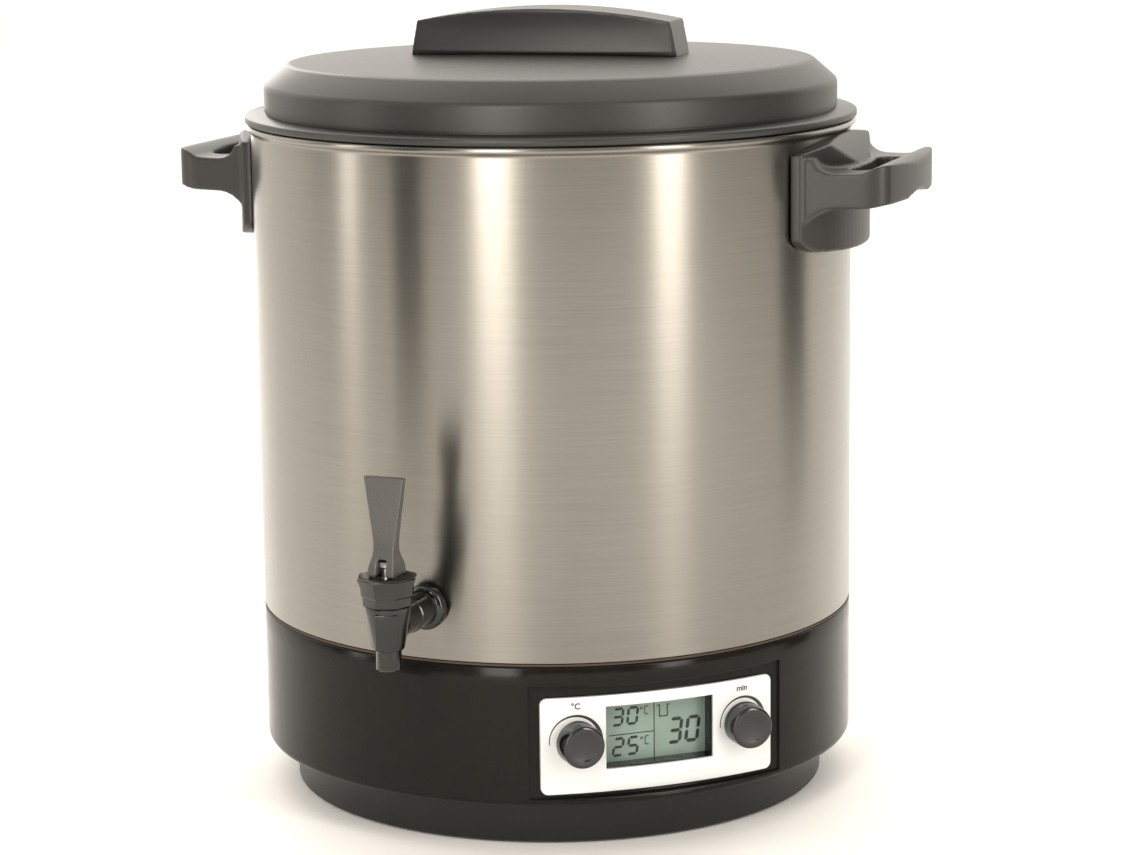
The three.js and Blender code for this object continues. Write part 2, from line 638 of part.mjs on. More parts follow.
for (const [name, x] of [['temperature', -KNOB_X], ['timer', KNOB_X]]) {
  place(panel, `${name}_potentiometer`, potentiometer(), looks.component).position.set(x, 0, KNOB_Z);
  place(panel, `${name}_spindle`, spindle(), looks.bright).position.set(x, 0, KNOB_Z);
  place(panel, `${name}_knob`, knob(), looks.knob).position.set(x, 0, KNOB_Z);
}

// ---- Heater, under the vessel's floor -----------------------------------------------------------------

const SPREADER = { r: 115, z0: 110.6, z1: FLOOR_UNDER - GAP };
const ELEMENT_R = 88;
const ELEMENT_TUBE = 4;
const ELEMENT_Z = SPREADER.z0 - 1 - ELEMENT_TUBE;
const ELEMENT_END_Z = 84;
const ELEMENT_OPEN = 14; // half of the angle left open between the element's ends, at the rear

place(yogurtMaker, 'heat_spreader', turned([[0, SPREADER.z0], [SPREADER.r, SPREADER.z0],
  [SPREADER.r, SPREADER.z1 - 1], [SPREADER.r - 1, SPREADER.z1], [0, SPREADER.z1]], 32), looks.aluminium);

// A horseshoe of sheathed tube whose ends turn down to their terminals.
function heatingElement() {
  const points = [];
  const at = (angle, z) => new THREE.Vector3(Math.sin(angle * RAD) * ELEMENT_R,
    Math.cos(angle * RAD) * ELEMENT_R, z);
  points.push(at(ELEMENT_OPEN, ELEMENT_END_Z), at(ELEMENT_OPEN, ELEMENT_Z - 9));
  for (let angle = ELEMENT_OPEN + 8; angle <= 360 - ELEMENT_OPEN - 7; angle += 18) {
    points.push(at(angle, ELEMENT_Z));
  }
  points.push(at(360 - ELEMENT_OPEN, ELEMENT_Z - 9), at(360 - ELEMENT_OPEN, ELEMENT_END_Z));
  const section = new THREE.Shape();
  section.absarc(0, 0, ELEMENT_TUBE, 0, Math.PI * 2, false);
  const path = new THREE.CatmullRomCurve3(points, false, 'centripetal');
  return new THREE.ExtrudeGeometry(section, { steps: 46, extrudePath: path, curveSegments: 3 });
}
place(yogurtMaker, 'heating_element', heatingElement(), looks.steel);

// A sheet dish below the element; its flange is clamped against the deck.
function heatShield() {
  const top = DECK_UNDER - GAP;
  const dish = turned([
    [0, 92], [112, 92], [121, 99], [121, top - 1.2], [164, top - 1.2], [164, top], [119.6, top],
    [119.6, 99.8], [111.4, 93.2], [0, 93.2],
  ], 32);
  const holes = FOOT_AZ.map((az) => footPost(az, 100, 110, 5.6, 8));
  holes.push(...CLAMP_AZ.map((az) => post(0, -CLAMP_R, 100, 110, CLAMP_SCREW_R + GAP, SCREW_SIDES)
    .rotateZ(az * RAD)));
  holes.push(...[-1, 1].map((s) => post(0, ELEMENT_R, 88, 97, ELEMENT_TUBE + 1.5, 8)
    .rotateZ(s * ELEMENT_OPEN * RAD)));
  return cut(dish, holes);
}
place(yogurtMaker, 'heat_shield', heatShield(), looks.bright);

place(yogurtMaker, 'temperature_sensor', post(-35, 0, 97, SPREADER.z0 - GAP, 5, 14), looks.brass);
place(yogurtMaker, 'thermal_cutout', post(35, 0, 101, SPREADER.z0 - GAP, 8, 18), looks.component);

// ---- Mains side, at the rear of the base --------------------------------------------------------------

const INLET_FACE = 183.8;

function powerInlet() {
  const face = roundedRectangle(-17, INLET_Z - 14, 17, INLET_Z + 14, 3);
  const flange = outward(face, BODY_R + GAP, INLET_FACE, 3);
  const shell = block([-14, 158, INLET_Z - 11], [14, BODY_R + 1, INLET_Z + 11]);
  const cavity = outward(outline([[-11.5, -8], [11.5, -8], [11.5, 3.5], [7, 8], [-7, 8], [-11.5, 3.5]]),
    167, 190).translate(0, 0, INLET_Z);
  const slots = inletPins().map(([x, z]) => upstand(x, z, 150, 170, GAP));
  return cut(join([flange, shell]), [cavity, ...slots]);
}

// Pin centres in the inlet's own view: two mains pins and the earth pin between and above them.
function inletPins() {
  return [[-7, -1], [0, 2], [7, -1]];
}

// A flat pin, or its slot when it is grown by the clearance.
function upstand(x, z, w0, w1, grown) {
  return block([x - 1 - grown, w0, INLET_Z + z - 2 - grown], [x + 1 + grown, w1, INLET_Z + z + 2 + grown]);
}

const rear = turnedGroup(yogurtMaker, 180);
place(rear, 'power_inlet', powerInlet(), looks.component);
for (const [i, [x, z]] of inletPins().entries()) {
  place(rear, `inlet_pin_${i + 1}`, upstand(x, z, 152, 178, 0), looks.bright);
}

// The board lies on its studs, and its parts stand on it.
function standing(x, y, z0, [width, depth, height]) {
  return new THREE.BoxGeometry(width, depth, height).translate(x, y, z0 + height / 2);
}
const BOARD_BOTTOM = 18;
place(yogurtMaker, 'power_board', standing(0, 90, BOARD_BOTTOM, [90, 62, 1.6]), looks.board);
place(yogurtMaker, 'relay', standing(-22, 86, BOARD_BOTTOM + 2, [20, 16, 17]), looks.component);
place(yogurtMaker, 'transformer', standing(16, 86, BOARD_BOTTOM + 2, [30, 26, 24]), looks.component);

// ---- Dispensing tap -----------------------------------------------------------------------------------

const tap = turnedGroup(yogurtMaker, TAP_AZ);
const SPOUT_Z = 118.5;
const BONNET_Z = [155.5, 172];
const PIVOT_Z = BONNET_Z[1] + GAP + 5;
const LEVER_TOP = 227;
const CHAMBER_FLOOR = 131;
const STEM_R = 2.6;
const CUP_R = 6.3;

// The spout, the tapered valve chamber and the shank that passes through the vessel's wall.
function tapBody() {
  const onAxis = (geometry) => geometry.translate(0, -TAP_W, 0);
  const barrel = onAxis(turned([
    [0, SPOUT_Z], [7.2, SPOUT_Z], [7.2, 129], [9, 130.5], [13.2, 152], [13.2, 155.2], [12.3, 155.2],
    [12.3, 165.7], [0, 165.7],
  ], 16));
  const shank = peg(0, TAP_Z, 166, TAP_W - 8, SHANK_R, 16);
  const collar = peg(0, TAP_Z, 182.1, 187, 13, 20);
  const sleeve = peg(0, TAP_Z, 186, TAP_W - 8, 9.4, 16);
  const chamber = onAxis(turned([
    [0, CHAMBER_FLOOR], [7.2, CHAMBER_FLOOR], [7.2, 138], [10.5, 152], [10.5, 170], [0, 170],
  ], 14));
  const spout = onAxis(post(0, 0, 110, CHAMBER_FLOOR + 1, 4.4, 12));
  const waterway = peg(0, TAP_Z, 160, TAP_W - 2, 4.5, 12);
  return cut(join([barrel, shank, collar, sleeve]), [chamber, spout, waterway]);
}
place(tap, 'tap_body', tapBody(), looks.tap);

// An eight-sided cap that screws over the chamber.
function tapBonnet() {
  const cap = turned([[0, BONNET_Z[0]], [14.6, BONNET_Z[0]], [15.2, 161], [15.6, 166], [17.4, 170.5],
    [16.6, BONNET_Z[1]], [0, BONNET_Z[1]]], 8).rotateZ(Math.PI / 8);
  const bore = turned([[0, 150], [12.7, 150], [12.7, 166.1], [0, 166.1]], 16);
  return cut(cap, [bore, post(0, 0, 160, 180, STEM_R + GAP, 14)]).translate(0, -TAP_W, 0);
}
place(tap, 'tap_bonnet', tapBonnet(), looks.tap);

// A cylinder along the lever's pivot.
function pivot(radius, length) {
  return new THREE.CylinderGeometry(radius, radius, length, 10).rotateZ(Math.PI / 2).translate(0, 0, PIVOT_Z);
}

function tapStem() {
  const rod = post(0, 0, 141.3, PIVOT_Z, STEM_R, 14);
  const eye = new THREE.CylinderGeometry(3, 3, 2 * STEM_R, 14).rotateZ(Math.PI / 2);
  return cut(join([rod, eye.translate(0, 0, PIVOT_Z)]), [pivot(1.5, 20)]).translate(0, -TAP_W, 0);
}
place(tap, 'tap_stem', tapStem(), looks.bright);

// The silicone plug that closes the chamber's floor, pushed onto the stem's foot.
function seatCup() {
  return turned([
    [0, CHAMBER_FLOOR + GAP], [5.6, CHAMBER_FLOOR + GAP], [CUP_R, 133.5], [CUP_R, 145], [STEM_R + GAP, 145],
    [STEM_R + GAP, 141], [0, 141],
  ], 12).translate(0, -TAP_W, 0);
}
place(tap, 'tap_seat_cup', seatCup(), looks.rubber);

// A closing spring between the cup and the bonnet.
function tapSpring() {
  const turns = 4;
  const steps = 8;
  const coilR = 5.2;
  const [z0, z1] = [146.2, 165.2];
  const points = [];
  for (let i = 0; i <= turns * steps; i += 1) {
    const angle = (i / steps) * Math.PI * 2;
    const z = z0 + ((z1 - z0) * i) / (turns * steps);
    points.push(new THREE.Vector3(Math.cos(angle) * coilR, Math.sin(angle) * coilR, z));
  }
  const wire = new THREE.Shape();
  wire.absarc(0, 0, 0.6, 0, Math.PI * 2, false);
  const path = new THREE.CatmullRomCurve3(points);
  const options = { steps: turns * steps, extrudePath: path, curveSegments: 3 };
  return new THREE.ExtrudeGeometry(wire, options).translate(0, -TAP_W, 0);
}
place(tap, 'tap_spring', tapSpring(), looks.bright);

// The lever: a cam foot that rocks on the bonnet, a narrow waist and a flaring paddle.
function tapLever() {
  const foot = PIVOT_Z - 5;
  const face = outline([
    [-7.5, foot], [7.5, foot], [7.2, 180], [6.2, 186], [7.2, 195], [12, LEVER_TOP - 0.6], [11.4, LEVER_TOP],
    [-11.4, LEVER_TOP], [-12, LEVER_TOP - 0.6], [-7.2, 195], [-6.2, 186], [-7.2, 180],
  ]);
  const depth = outline([
    [TAP_W - 8, foot], [TAP_W + 8, foot], [TAP_W + 7.6, 177.5], [TAP_W + 4.6, 184], [TAP_W + 3, 191],
    [TAP_W + 1.7, LEVER_TOP], [TAP_W - 1.7, LEVER_TOP], [TAP_W - 3, 191], [TAP_W - 4.6, 184],
    [TAP_W - 7.6, 177.5],
  ]);
  const slot = block([-STEM_R - GAP, TAP_W - 20, 165], [STEM_R + GAP, TAP_W + 20, PIVOT_Z + 4.5]);
  const hole = pivot(1.5, 40).translate(0, -TAP_W, 0);
  return cut(common(outward(face, TAP_W - 20, TAP_W + 20), across(depth, 40)), [slot, hole]);
}
place(tap, 'tap_lever', tapLever(), looks.lever);

place(tap, 'tap_lever_pin', pivot(1.2, 14).translate(0, -TAP_W, 0), looks.bright);

// Washers either side of the wall and the nut that draws the shank tight.
function shankRing(w0, w1, outer, sides) {
  return cut(peg(0, TAP_Z, w0, w1, outer, sides), [peg(0, TAP_Z, w0 - 1, w1 + 1, SHANK_R + GAP, 16)]);
}
place(tap, 'tap_outer_washer', shankRing(BODY_R + GAP, 181.8, 12, 16), looks.rubber);
place(tap, 'tap_inner_washer', shankRing(176.3, 178, 12.5, 16), looks.rubber);
place(tap, 'tap_lock_nut', shankRing(170.5, 176, 14.5, 6), looks.tap);

export default yogurtMaker;
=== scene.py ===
# Yogurt maker: the looks of a lidded steel vessel on a black heater base, with a dispensing tap and a panel.
# Metres, +Z up, -Y is the front. Pieces on the side of the body are drawn facing -Y and turned about Z.
import json
import math

import bmesh
import bpy
from mathutils import Matrix, Vector

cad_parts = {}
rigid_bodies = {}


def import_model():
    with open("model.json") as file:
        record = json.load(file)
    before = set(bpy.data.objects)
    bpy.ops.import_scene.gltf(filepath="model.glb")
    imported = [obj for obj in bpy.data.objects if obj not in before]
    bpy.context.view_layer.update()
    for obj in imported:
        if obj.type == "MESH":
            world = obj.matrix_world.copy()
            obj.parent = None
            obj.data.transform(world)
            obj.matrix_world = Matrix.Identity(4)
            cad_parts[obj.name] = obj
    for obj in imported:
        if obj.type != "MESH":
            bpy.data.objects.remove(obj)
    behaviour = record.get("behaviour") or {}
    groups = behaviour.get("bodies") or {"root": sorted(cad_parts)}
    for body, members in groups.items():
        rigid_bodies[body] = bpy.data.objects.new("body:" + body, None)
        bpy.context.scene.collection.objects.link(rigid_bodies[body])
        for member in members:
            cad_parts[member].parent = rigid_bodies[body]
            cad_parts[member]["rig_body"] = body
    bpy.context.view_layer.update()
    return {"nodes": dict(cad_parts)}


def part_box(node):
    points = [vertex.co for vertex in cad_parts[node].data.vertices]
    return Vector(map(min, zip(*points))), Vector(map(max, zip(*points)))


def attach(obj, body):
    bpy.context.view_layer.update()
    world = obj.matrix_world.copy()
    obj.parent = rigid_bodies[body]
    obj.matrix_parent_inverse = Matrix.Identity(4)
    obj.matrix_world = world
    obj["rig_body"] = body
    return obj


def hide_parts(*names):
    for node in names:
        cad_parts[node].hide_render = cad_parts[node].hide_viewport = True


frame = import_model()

nodes = frame["nodes"]


# ---- Vessel -----------------------------------------------------------------------------------------------
# A deep pot drawn from 1.2 mm stainless sheet, brushed round its axis, with a rolled bead at the rim.
# One closed outline is spun about the axis. It drops onto the base and is clamped from below.

MM = 0.001
WALL_R = 180.0
WALL = 1.2
BEAD_R = 2.1
POT_FLOOR = 116.2
ROUND_STEPS = 192
SCRATCH_GAP = 0.9
SCRATCH_LONG = 63.0
CLOUD_WIDE = 60.0
CLOUD_TALL = 120.0


def linear(code):
    """The linear colour of an sRGB hex code such as #c8c2b4."""
    parts = [int(code[i : i + 2], 16) / 255 for i in (1, 3, 5)]
    return (*[p / 12.92 if p <= 0.04045 else ((p + 0.055) / 1.055) ** 2.4 for p in parts], 1)


def add(tree, kind, inputs=None, **settings):
    """Adds a node with its settings, and its inputs as links or as values."""
    node = tree.nodes.new(kind)
    for name, value in settings.items():
        setattr(node, name, value)
    for socket, value in (inputs or {}).items():
        if isinstance(value, bpy.types.NodeSocket):
            tree.links.new(value, node.inputs[socket])
        else:
            node.inputs[socket].default_value = value
    return node


def new_material(name):
    """An empty material, its node tree and its Object coordinates."""
    material = bpy.data.materials.new(name)
    material.use_nodes = True
    material.node_tree.nodes.clear()
    return material, material.node_tree, add(material.node_tree, "ShaderNodeTexCoord").outputs["Object"]


def arc(centre, radius, start, end, steps):
    """Points of a circular arc, with its angles in degrees."""
    angles = [math.radians(start + (end - start) * i / steps) for i in range(steps + 1)]
    return [(centre[0] + radius * math.cos(a), centre[1] + radius * math.sin(a)) for a in angles]


def spun(outline, steps=ROUND_STEPS, closed=True):
    """A solid of revolution about Z, from an outline of (radius, height) in mm."""
    bm = bmesh.new()
    points = [bm.verts.new((r * MM, 0, z * MM)) for r, z in outline]
    edges = [bm.edges.new(pair) for pair in zip(points, points[1:])]
    if closed:
        edges.append(bm.edges.new((points[-1], points[0])))
    bmesh.ops.spin(bm, geom=points + edges, cent=(0, 0, 0), axis=(0, 0, 1), angle=2 * math.pi,
                   steps=steps, use_merge=True)
    bmesh.ops.remove_doubles(bm, verts=bm.verts, dist=1e-6)
    bmesh.ops.dissolve_degenerate(bm, dist=1e-7, edges=bm.edges)
    bmesh.ops.recalc_face_normals(bm, faces=bm.faces)
    return bm


def soften(bm, width, angle=30, segments=3):
    """Rounds every edge that is sharper than `angle` degrees."""
    sharp = [e for e in bm.edges if e.is_manifold and e.calc_face_angle() > math.radians(angle)]
    bmesh.ops.bevel(bm, geom=sharp, offset=width * MM, offset_type="OFFSET", affect="EDGES",
                    segments=segments, profile=0.5, material=-1, clamp_overlap=True)


def finished(bm, name, material, slot, *stands_for, rides_on=None, crease=38):
    """Makes the piece's object, smooth but for its creases, on the body of the CAD nodes it stands for."""
    for face in bm.faces:
        face.smooth = True
    for edge in bm.edges:
        edge.smooth = not (edge.is_manifold and edge.calc_face_angle() > math.radians(crease))
    mesh = bpy.data.meshes.new(name)
    bm.to_mesh(mesh)
    bm.free()
    mesh.materials.append(material)
    piece = bpy.data.objects.new(name, mesh)
    bpy.context.scene.collection.objects.link(piece)
    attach(piece, rides_on or nodes[stands_for[0]]["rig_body"])
    if stands_for:
        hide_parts(*stands_for)
    return piece


def coated(material, *names):
    """Gives carried-over nodes a material."""
    for name in names:
        nodes[name].data.materials.clear()
        nodes[name].data.materials.append(material)


# Stainless 304, belt-brushed round the axis: long fine scratches draw every highlight out up and down.
# The scratches are drawn 0.9 mm apart, coarser than the real 0.1 mm, so that they show.
steel, tree, coords = new_material("brushed_stainless_304")
brushed = add(tree, "ShaderNodeMapping", {
    "Vector": coords, "Scale": (1 / (SCRATCH_LONG * MM), 1 / (SCRATCH_LONG * MM), 1 / (SCRATCH_GAP * MM))})
scratches = add(tree, "ShaderNodeTexNoise", {
    "Vector": brushed.outputs["Vector"], "Scale": 1.0, "Detail": 2.0})
tall = add(tree, "ShaderNodeMapping", {
    "Vector": coords, "Scale": (1 / (CLOUD_WIDE * MM), 1 / (CLOUD_WIDE * MM), 1 / (CLOUD_TALL * MM))})
clouds = add(tree, "ShaderNodeTexNoise", {"Vector": tall.outputs["Vector"], "Scale": 1.0, "Detail": 3.0})
bump = add(tree, "ShaderNodeBump", {
    "Height": scratches.outputs["Fac"], "Strength": 0.10, "Distance": 0.06 * MM})
tangent = add(tree, "ShaderNodeTangent", direction_type="RADIAL", axis="Z")
tint = add(tree, "ShaderNodeMix", {
    "Factor": scratches.outputs["Fac"], "A": linear("#827f79"), "B": linear("#8f8c85")}, data_type="RGBA")
rough = add(tree, "ShaderNodeMapRange", {
    "Value": clouds.outputs["Fac"], "From Min": 0.3, "From Max": 0.7, "To Min": 0.27, "To Max": 0.33})
shader = add(tree, "ShaderNodeBsdfPrincipled", {
    "Base Color": tint.outputs["Result"], "Metallic": 1.0, "Roughness": rough.outputs["Result"],
    "Anisotropic": 0.85, "Anisotropic Rotation": 0.25, "Tangent": tangent.outputs[0],
    "Normal": bump.outputs[0]})
add(tree, "ShaderNodeOutputMaterial", {"Surface": shader.outputs["BSDF"]})

pot_outline = [
    (0, 115), (168, 115), (171, 114.4), (174, 112.1), (175, 111.7), (179.2, 111.7), (179.8, 112.0),
    (WALL_R, 112.6), (WALL_R, 397.0), (WALL_R, 397.8), (180.7, 398.7),
    *arc((180.8, 401.2), BEAD_R, -65, 100, 12),
    (WALL_R - WALL, 402.4), (WALL_R - WALL, 396), *arc((172.8, 122.2), 6, 0, -90, 8), (0, POT_FLOOR),
]
finished(spun(pot_outline, closed=False), "steel_pot", steel, "brushed_steel", "pot")

# The thin line at the seam is the edge of a flat ring between the vessel and the base. It is cut from
# amber silicone sheet, which is matt and rubbery, a little darker where dust clings to it.
seal_silicone, tree, coords = new_material("amber_silicone_sheet")
fleck = add(tree, "ShaderNodeTexNoise", {"Vector": coords, "Scale": 1 / (1.5 * MM), "Detail": 3.0})
tint = add(tree, "ShaderNodeMix", {
    "Factor": fleck.outputs["Fac"], "A": linear("#33271f"), "B": linear("#46372c")}, data_type="RGBA")
shader = add(tree, "ShaderNodeBsdfPrincipled", {
    "Base Color": tint.outputs["Result"], "Roughness": 0.6, "IOR": 1.41})
add(tree, "ShaderNodeOutputMaterial", {"Surface": shader.outputs["BSDF"]})
finished(spun([(174.8, 110.2), (179.9, 110.2), (179.9, 111.4), (174.8, 111.4)]), "seam_seal", seal_silicone,
         "seam_silicone", "seam_gasket")


# ---- Lid --------------------------------------------------------------------------------------------------
# A moulded polypropylene lid: a gently domed top, a wide chamfer, an upright drum and a thin lip that
# rests on the bead, with a skirt inside the vessel. One outline is spun, and its corners are rounded.

CROWN_Z = 442.0
TOP_R = 157.0
TOP_Z = 438.3
DRUM_R = 171.6
LIP_R = 183.3


def dome_z(radius):
    return CROWN_Z - (CROWN_Z - TOP_Z) * (radius / TOP_R) ** 2


# Spark-eroded polypropylene, charcoal: a fine matt texture that scatters highlights into a soft sheen.
# The texture is drawn 0.7 mm across, where the mould's is nearer 0.1 mm.
charcoal, tree, coords = new_material("spark_textured_polypropylene")
texture = add(tree, "ShaderNodeTexNoise", {"Vector": coords, "Scale": 1 / (0.7 * MM), "Detail": 4.0})
patches = add(tree, "ShaderNodeTexNoise", {"Vector": coords, "Scale": 1 / (45 * MM), "Detail": 3.0})
bump = add(tree, "ShaderNodeBump", {
    "Height": texture.outputs["Fac"], "Strength": 0.35, "Distance": 0.05 * MM})
tint = add(tree, "ShaderNodeMix", {
    "Factor": patches.outputs["Fac"], "A": linear("#1f1e1d"), "B": linear("#262523")}, data_type="RGBA")
rough = add(tree, "ShaderNodeMapRange", {
    "Value": texture.outputs["Fac"], "From Min": 0.3, "From Max": 0.7, "To Min": 0.36, "To Max": 0.45})
shader = add(tree, "ShaderNodeBsdfPrincipled", {
    "Base Color": tint.outputs["Result"], "Roughness": rough.outputs["Result"], "IOR": 1.49,
    "Normal": bump.outputs[0]})
add(tree, "ShaderNodeOutputMaterial", {"Surface": shader.outputs["BSDF"]})

outer = [(r, dome_z(r)) for r in (0, 40, 80, 110, 135, 150)]
inner = [(r, dome_z(r) - 3) for r in (150, 110, 60, 0)]
lid_outline = [
    *outer, (TOP_R, TOP_Z), (DRUM_R, 425.4), (DRUM_R, 410.4), (DRUM_R - 0.7, 410.1), (DRUM_R - 0.7, 409.3),
    (DRUM_R + 0.6, 408.7), (LIP_R - 1.0, 408.1), (LIP_R - 0.2, 407.6), (LIP_R, 406.9), (LIP_R, 404.6),
    (LIP_R - 0.5, 404.0), (177.4, 404.0), (177.2, 393.9), (176.8, 393.5), (175.2, 393.5), (175, 405.2),
    (168.6, 405.2), (168.6, 424), (155.5, 435.2), *inner,
]
lid = spun(lid_outline, closed=False)
rounded = [e for e in lid.edges if e.is_manifold and e.calc_face_angle() > math.radians(20)
           and all(v.co.z > 420 * MM for v in e.verts)]
bmesh.ops.bevel(lid, geom=rounded, offset=2.2 * MM, offset_type="OFFSET", affect="EDGES", segments=5,
                profile=0.5, material=-1, clamp_overlap=True)
finished(lid, "lid_moulding", charcoal, "charcoal_plastic", "lid_shell", crease=50)


# ---- Lid handle -------------------------------------------------------------------------------------------
# A hollow moulded bar with an arched top and slightly hollowed faces, screwed on from inside the lid.
# Its front view and its plan are crossed, and the block is remeshed so that its edges are rounded.

BAR_HALF = 82.0
BAR_TOP_HALF = 78.0
BAR_END_Z = 461.5
BAR_MID_Z = 469.0
BAR_END_W = 17.5
BAR_MID_W = 21.5
BAR_FOOT_Z = 441.0
BAR_FACE_TALL = 26.0
BAR_HOLLOW = 1.5
BAR_FLARE = 1.6


def bow(start, middle, end, steps=16):
    """Points of a quadratic curve that leaves start and meets end, without its last point."""
    found = []
    for i in range(steps):
        t = i / steps
        found.append(tuple((1 - t) ** 2 * a + 2 * t * (1 - t) * b + t * t * c
                           for a, b, c in zip(start, middle, end)))
    return found


def slab(outline, low, high, view):
    """A plan ("top"), front view ("front") or side view ("side") extruded from low to high, in mm.
    A front view is (x, z) and grows towards -Y, and a side view is (distance out along -Y, z)."""
    bm = bmesh.new()
    placed = {
        "top": lambda a, b: (a, b, low),
        "front": lambda a, b: (a, -low, b),
        "side": lambda a, b: (low, -a, b),
    }[view]
    step = {"top": (0, 0, 1), "front": (0, -1, 0), "side": (1, 0, 0)}[view]
    face = bm.faces.new([bm.verts.new(Vector(placed(a, b)) * MM) for a, b in outline])
    grown = bmesh.ops.extrude_face_region(bm, geom=[face])
    raised = [v for v in grown["geom"] if isinstance(v, bmesh.types.BMVert)]
    bmesh.ops.translate(bm, verts=raised, vec=Vector(step) * (high - low) * MM)
    bmesh.ops.recalc_face_normals(bm, faces=bm.faces)
    return bm


def scratch_object(bm):
    mesh = bpy.data.meshes.new("scratch")
    bm.to_mesh(mesh)
    bm.free()
    made = bpy.data.objects.new("scratch", mesh)
    bpy.context.scene.collection.objects.link(made)
    return made


def carved(base, steps, voxel=0.0, rounds=0):
    """The base after each (operation, tool) in turn, then remeshed and smoothed if a voxel size is given."""
    work = scratch_object(base)
    tools = [scratch_object(tool) for _, tool in steps]
    for (operation, _), tool in zip(steps, tools):
        cut = work.modifiers.new("cut", "BOOLEAN")
        cut.operation = operation
        cut.solver = "EXACT"
        cut.object = tool
    if voxel:
        fuse = work.modifiers.new("fuse", "REMESH")
        fuse.mode = "VOXEL"
        fuse.voxel_size = voxel * MM
        ease = work.modifiers.new("ease", "SMOOTH")
        ease.factor = 0.5
        ease.iterations = rounds
    depsgraph = bpy.context.evaluated_depsgraph_get()
    mesh = bpy.data.meshes.new_from_object(work.evaluated_get(depsgraph))
    bm = bmesh.new()
    bm.from_mesh(mesh)
    bpy.data.meshes.remove(mesh)
    for made in (work, *tools):
        data = made.data
        bpy.data.objects.remove(made)
        bpy.data.meshes.remove(data)
    return bm


bar_front = [
    (-BAR_HALF, 436), (BAR_HALF, 436), (BAR_HALF, BAR_FOOT_Z),
    *bow((BAR_TOP_HALF, BAR_END_Z), (0, 2 * BAR_MID_Z - BAR_END_Z), (-BAR_TOP_HALF, BAR_END_Z), 32),
    (-BAR_TOP_HALF, BAR_END_Z), (-BAR_HALF, BAR_FOOT_Z),
]
bulge = 2 * BAR_MID_W - BAR_END_W
bar_plan = [
    *bow((-BAR_HALF + 3, -BAR_END_W), (0, -bulge), (BAR_HALF - 3, -BAR_END_W), 32),
    *bow((BAR_HALF - 3, -BAR_END_W), (BAR_HALF, -BAR_END_W), (BAR_HALF, -BAR_END_W + 3), 5),
    *bow((BAR_HALF, BAR_END_W - 3), (BAR_HALF, BAR_END_W), (BAR_HALF - 3, BAR_END_W), 5),
    *bow((BAR_HALF - 3, BAR_END_W), (0, bulge), (-BAR_HALF + 3, BAR_END_W), 32),
    *bow((-BAR_HALF + 3, BAR_END_W), (-BAR_HALF, BAR_END_W), (-BAR_HALF, BAR_END_W - 3), 5),
    *bow((-BAR_HALF, -BAR_END_W + 3), (-BAR_HALF, -BAR_END_W), (-BAR_HALF + 3, -BAR_END_W), 5),
]
bar = carved(slab(bar_front, -30, 30, "front"), [("INTERSECT", slab(bar_plan, 430, 475, "top"))], 0.8, 3)
for vertex in bar.verts:
    x, y, z = vertex.co / MM
    if z < BAR_FOOT_Z + 0.5:
        vertex.co.z = max(z, dome_z(math.hypot(x, y)) + 0.1) * MM
    # The long faces are hollowed a little above a flared foot, and the foot's edge spreads onto the lid.
    up = (z - BAR_FOOT_Z) / BAR_FACE_TALL
    hollow = BAR_HOLLOW * math.sin(math.pi * min(max(up, 0), 1)) - BAR_FLARE * max(0, 1 - up * 4) ** 2
    middle = max(0, 1 - (x / (BAR_HALF + 4)) ** 4)
    vertex.co.y -= math.copysign(hollow * middle * min(1, abs(y) / 14), y) * MM
finished(bar, "lid_bar", charcoal, "charcoal_plastic", "lid_handle", crease=60)


# ---- Screws -----------------------------------------------------------------------------------------------
# Zinc-plated pan-head screws with a cross recess, driven from inside the lid, vessel and base.
# Each is spun about its own axis, from the size of its node, and crossed slots are cut in its head.

HANDLE_AZIMUTHS = {"left": -94.0, "right": 86.0}
HANDLE_SCREW_STEP = 12.0
HANDLE_SCREW_Z = 350.0

# Bright zinc plate: a thin silver coat, mirror-like where it is smooth and clouded where it has bloomed.
zinc, tree, coords = new_material("zinc_plated_steel")
bloom = add(tree, "ShaderNodeTexNoise", {"Vector": coords, "Scale": 1 / (2.0 * MM), "Detail": 3.0})
tint = add(tree, "ShaderNodeMix", {
    "Factor": bloom.outputs["Fac"], "A": linear("#b9bbba"), "B": linear("#d0d1cd")}, data_type="RGBA")
rough = add(tree, "ShaderNodeMapRange", {
    "Value": bloom.outputs["Fac"], "From Min": 0.3, "From Max": 0.7, "To Min": 0.26, "To Max": 0.38})
shader = add(tree, "ShaderNodeBsdfPrincipled", {
    "Base Color": tint.outputs["Result"], "Metallic": 1.0, "Roughness": rough.outputs["Result"]})
add(tree, "ShaderNodeOutputMaterial", {"Surface": shader.outputs["BSDF"]})


def pan_head(shank, head, height, length):
    """A screw with its seat at z = 0, its head below and its shank above."""
    body = spun([
        (0, -height), (head * 0.55, -height * 0.97), (head * 0.85, -height * 0.8), (head, -height * 0.4),
        (head, -0.15), (head - 0.2, 0), (shank, 0), (shank, length - 1), (shank - 0.6, length), (0, length),
    ], 32, closed=False)
    arms = [slab([(-a, -b), (a, -b), (a, b), (-a, b)], -height - 1, -height * 0.45, "top")
            for a, b in ((head * 0.55, head * 0.13), (head * 0.13, head * 0.55))]
    return carved(body, [("DIFFERENCE", arm) for arm in arms])


def driven(node, sizes, turn):
    """A screw at a node, whose seat `turn` puts in place."""
    bm = pan_head(*sizes)
    bmesh.ops.transform(bm, matrix=turn, verts=bm.verts)
    finished(bm, f"{node}_crosshead", zinc, "zinc_screws", node)


def upright_seat(node, height):
    """Where an upright screw's seat is: its head's height above the node's lowest point."""
    low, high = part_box(node)
    middle = (low + high) / 2
    return Matrix.Translation((middle.x, middle.y, low.z + height * MM))


